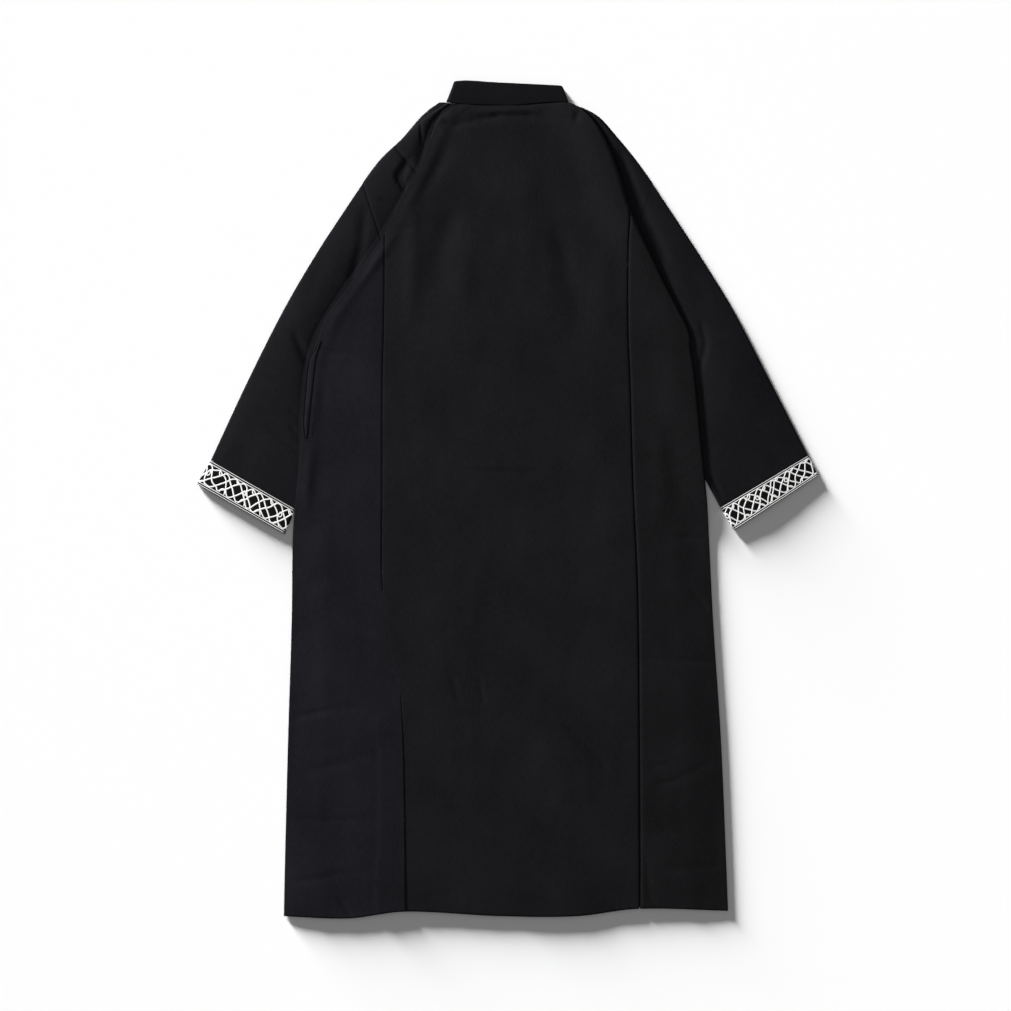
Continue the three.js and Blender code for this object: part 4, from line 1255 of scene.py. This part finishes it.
for side in ("left", "right"):
    rings = [cuff_loop(section_at(CUFFS[side], share)) for share in steps(0, 1, CUFF_RINGS)]
    rows = [loop for loop, lengths in rings]
    cuff = cloth_rows(f"cuff_{side}_ribbon", faces_out(side, rows), CUFF_WALL, closed=True)
    dress(cuff, ribbon, f"cuff_{side}")

    around = rings[CUFF_RINGS // 2][1][-1]
    cord_mesh = flat_cord_mesh(cord_paths(around))
    for vert in cord_mesh.vertices:
        u, v, z = vert.co
        along = u / around - CORD_TURN
        vert.co = on_cuff(rings, side, along, v / CUFF_HEIGHT, z * CORD_FLAT + CORD_LIFT)
    for face in cord_mesh.polygons:
        face.use_smooth = True
    cord_mesh.materials.clear()
    cord_mesh.materials.append(cord_white)
    cords = bpy.data.objects.new(f"cuff_{side}_cords", cord_mesh)
    bpy.context.collection.objects.link(cords)
    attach(cords, "root")

# ---------------------------------------------------------------------------
# Pocket: an opening in the left side seam that shows the lining, a very black sheet
# which is also a painted shade in the opening. A narrow facing of the same cloth lies beside it,
# held by a row of topstitching along its inner edge and a second row beside its lower half, joined by a bar
# at the end.

# The opening's outer edge and the facing's inner side, in millimetres
POCKET = [
    {"y": 101, "outer": -333.5, "inner": -330.5},
    {"y": 112, "outer": -336, "inner": -328.5},
    {"y": 134, "outer": -336.5, "inner": -326.5},
    {"y": 178, "outer": -333, "inner": -321.5},
    {"y": 223, "outer": -328.5, "inner": -316.5},
    {"y": 236, "outer": -324.5, "inner": -314},
    {"y": 249, "outer": -316, "inner": -311},
    {"y": 262, "outer": -309.5, "inner": -306.5},
]
POCKET_WALL = 0.5 * MM
POCKET_LIFT = 0.2 * MM
POCKET_DOME = 0.7 * MM
POCKET_CELL = 3 * MM
POCKET_ACROSS = 8
MOUTH = {"width": 2.1 * MM, "share": 0.35}  # the opening, at most this share of the pocket's width
LINING = {"wall": 0.2 * MM, "lift": 0.1 * MM}
STITCH = {"length": 3.0 * MM, "pitch": 3.8 * MM, "width": 0.8 * MM, "inset": 1.6 * MM}
# Corners of the second row and of the bar, in millimetres
SECOND_ROW = [(-316.5, 152.6), (-319, 126), (-322.5, 100.5)]
END_BAR = [(-334, 99), (-328, 97.5), (-322, 95)]


def pocket_rows(start, end, lift, dome):
    """Rows of points across the pocket at a height above the back, from its outer side inwards.

    They start at the opening's outer edge (0) or at the facing's edge (1), which ends the opening, and
    end at the facing's edge (0) or at its inner side (1). So 0, 0 is the opening and 1, 1 the facing.
    """
    rows = []
    for level in rows_of(POCKET[0]["y"] * MM, POCKET[-1]["y"] * MM, POCKET_CELL):
        outer, inner = between(POCKET, "y", level, "outer"), between(POCKET, "y", level, "inner")
        mouth = min(MOUTH["width"] / (inner - outer), MOUTH["share"])
        row = []
        for part in steps(0, 1, POCKET_ACROSS):
            share = lerp(start * mouth, lerp(mouth, 1, end), part)
            x = lerp(outer, inner, share)
            row.append(Vector((x, level, back_top(x, level) + lift + dome * math.sin(math.pi * part))))
        rows.append(row)
    return rows


def stitch_places(corners):
    """Middles and directions of the stitches along a line of corners."""
    places = []
    for start, end in zip(corners, corners[1:]):
        run = end - start
        count = max(1, round(run.length / STITCH["pitch"]))
        places += [(start + run * (n + 0.5) / count, run) for n in range(count)]
    return places


def matt_black(name):
    """The finish of the thread, and of the lining, whose very black colour is also a painted shade in the
    pocket's opening.
    """
    finish = bpy.data.materials.new(name)
    finish.use_nodes = True
    shader = finish.node_tree.nodes["Principled BSDF"]
    shader.inputs["Base Color"].default_value = (0.0015, 0.0015, 0.0017, 1)
    shader.inputs["Roughness"].default_value = 0.9
    shader.inputs["Specular IOR Level"].default_value = 0.04
    return finish


# The facing has the left panel's colour, which is painted lighter as a painted light from the lamp at the
# left.
rows = pocket_rows(1, 1, POCKET_LIFT + POCKET_WALL, POCKET_DOME)
pocket = cloth_rows("pocket_left_cloth", rows, POCKET_WALL)
dress(pocket, black_suiting("pocket_suiting", (0.0089, 0.0086, 0.0114)), "pocket_left")

# The lining lies in the opening; its very black colour is also a painted shade for the gap there.
lining_rows = pocket_rows(0, 0, LINING["wall"] + LINING["lift"], 0)
lining = cloth_rows("pocket_left_lining", lining_rows, LINING["wall"])
lining.data.materials.append(matt_black("black_lining_and_painted_shade"))
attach(lining, "root")

stitch_lines = [[row[-1] - Vector((STITCH["inset"], 0, 0)) for row in rows[2:-2:2]]]
for line in (SECOND_ROW, END_BAR):
    stitch_lines.append([Vector((x * MM, y * MM, back_top(x * MM, y * MM))) for x, y in line])
bm = bmesh.new()
for line in stitch_lines:
    for middle, run in stitch_places(line):
        turn = run.to_track_quat("X", "Z").to_matrix().to_4x4()
        size = Matrix.Diagonal((STITCH["length"] / 2, STITCH["width"] / 2, STITCH["width"] / 2, 1))
        place = Matrix.Translation(middle) @ turn @ size
        bmesh.ops.create_uvsphere(bm, u_segments=6, v_segments=4, radius=1, matrix=place)
for face in bm.faces:
    face.smooth = True
stitch_mesh = bpy.data.meshes.new("pocket_left_stitches")
bm.to_mesh(stitch_mesh)
bm.free()
stitch_mesh.materials.append(matt_black("black_thread"))
stitches = bpy.data.objects.new("pocket_left_stitches", stitch_mesh)
bpy.context.collection.objects.link(stitches)
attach(stitches, "root")
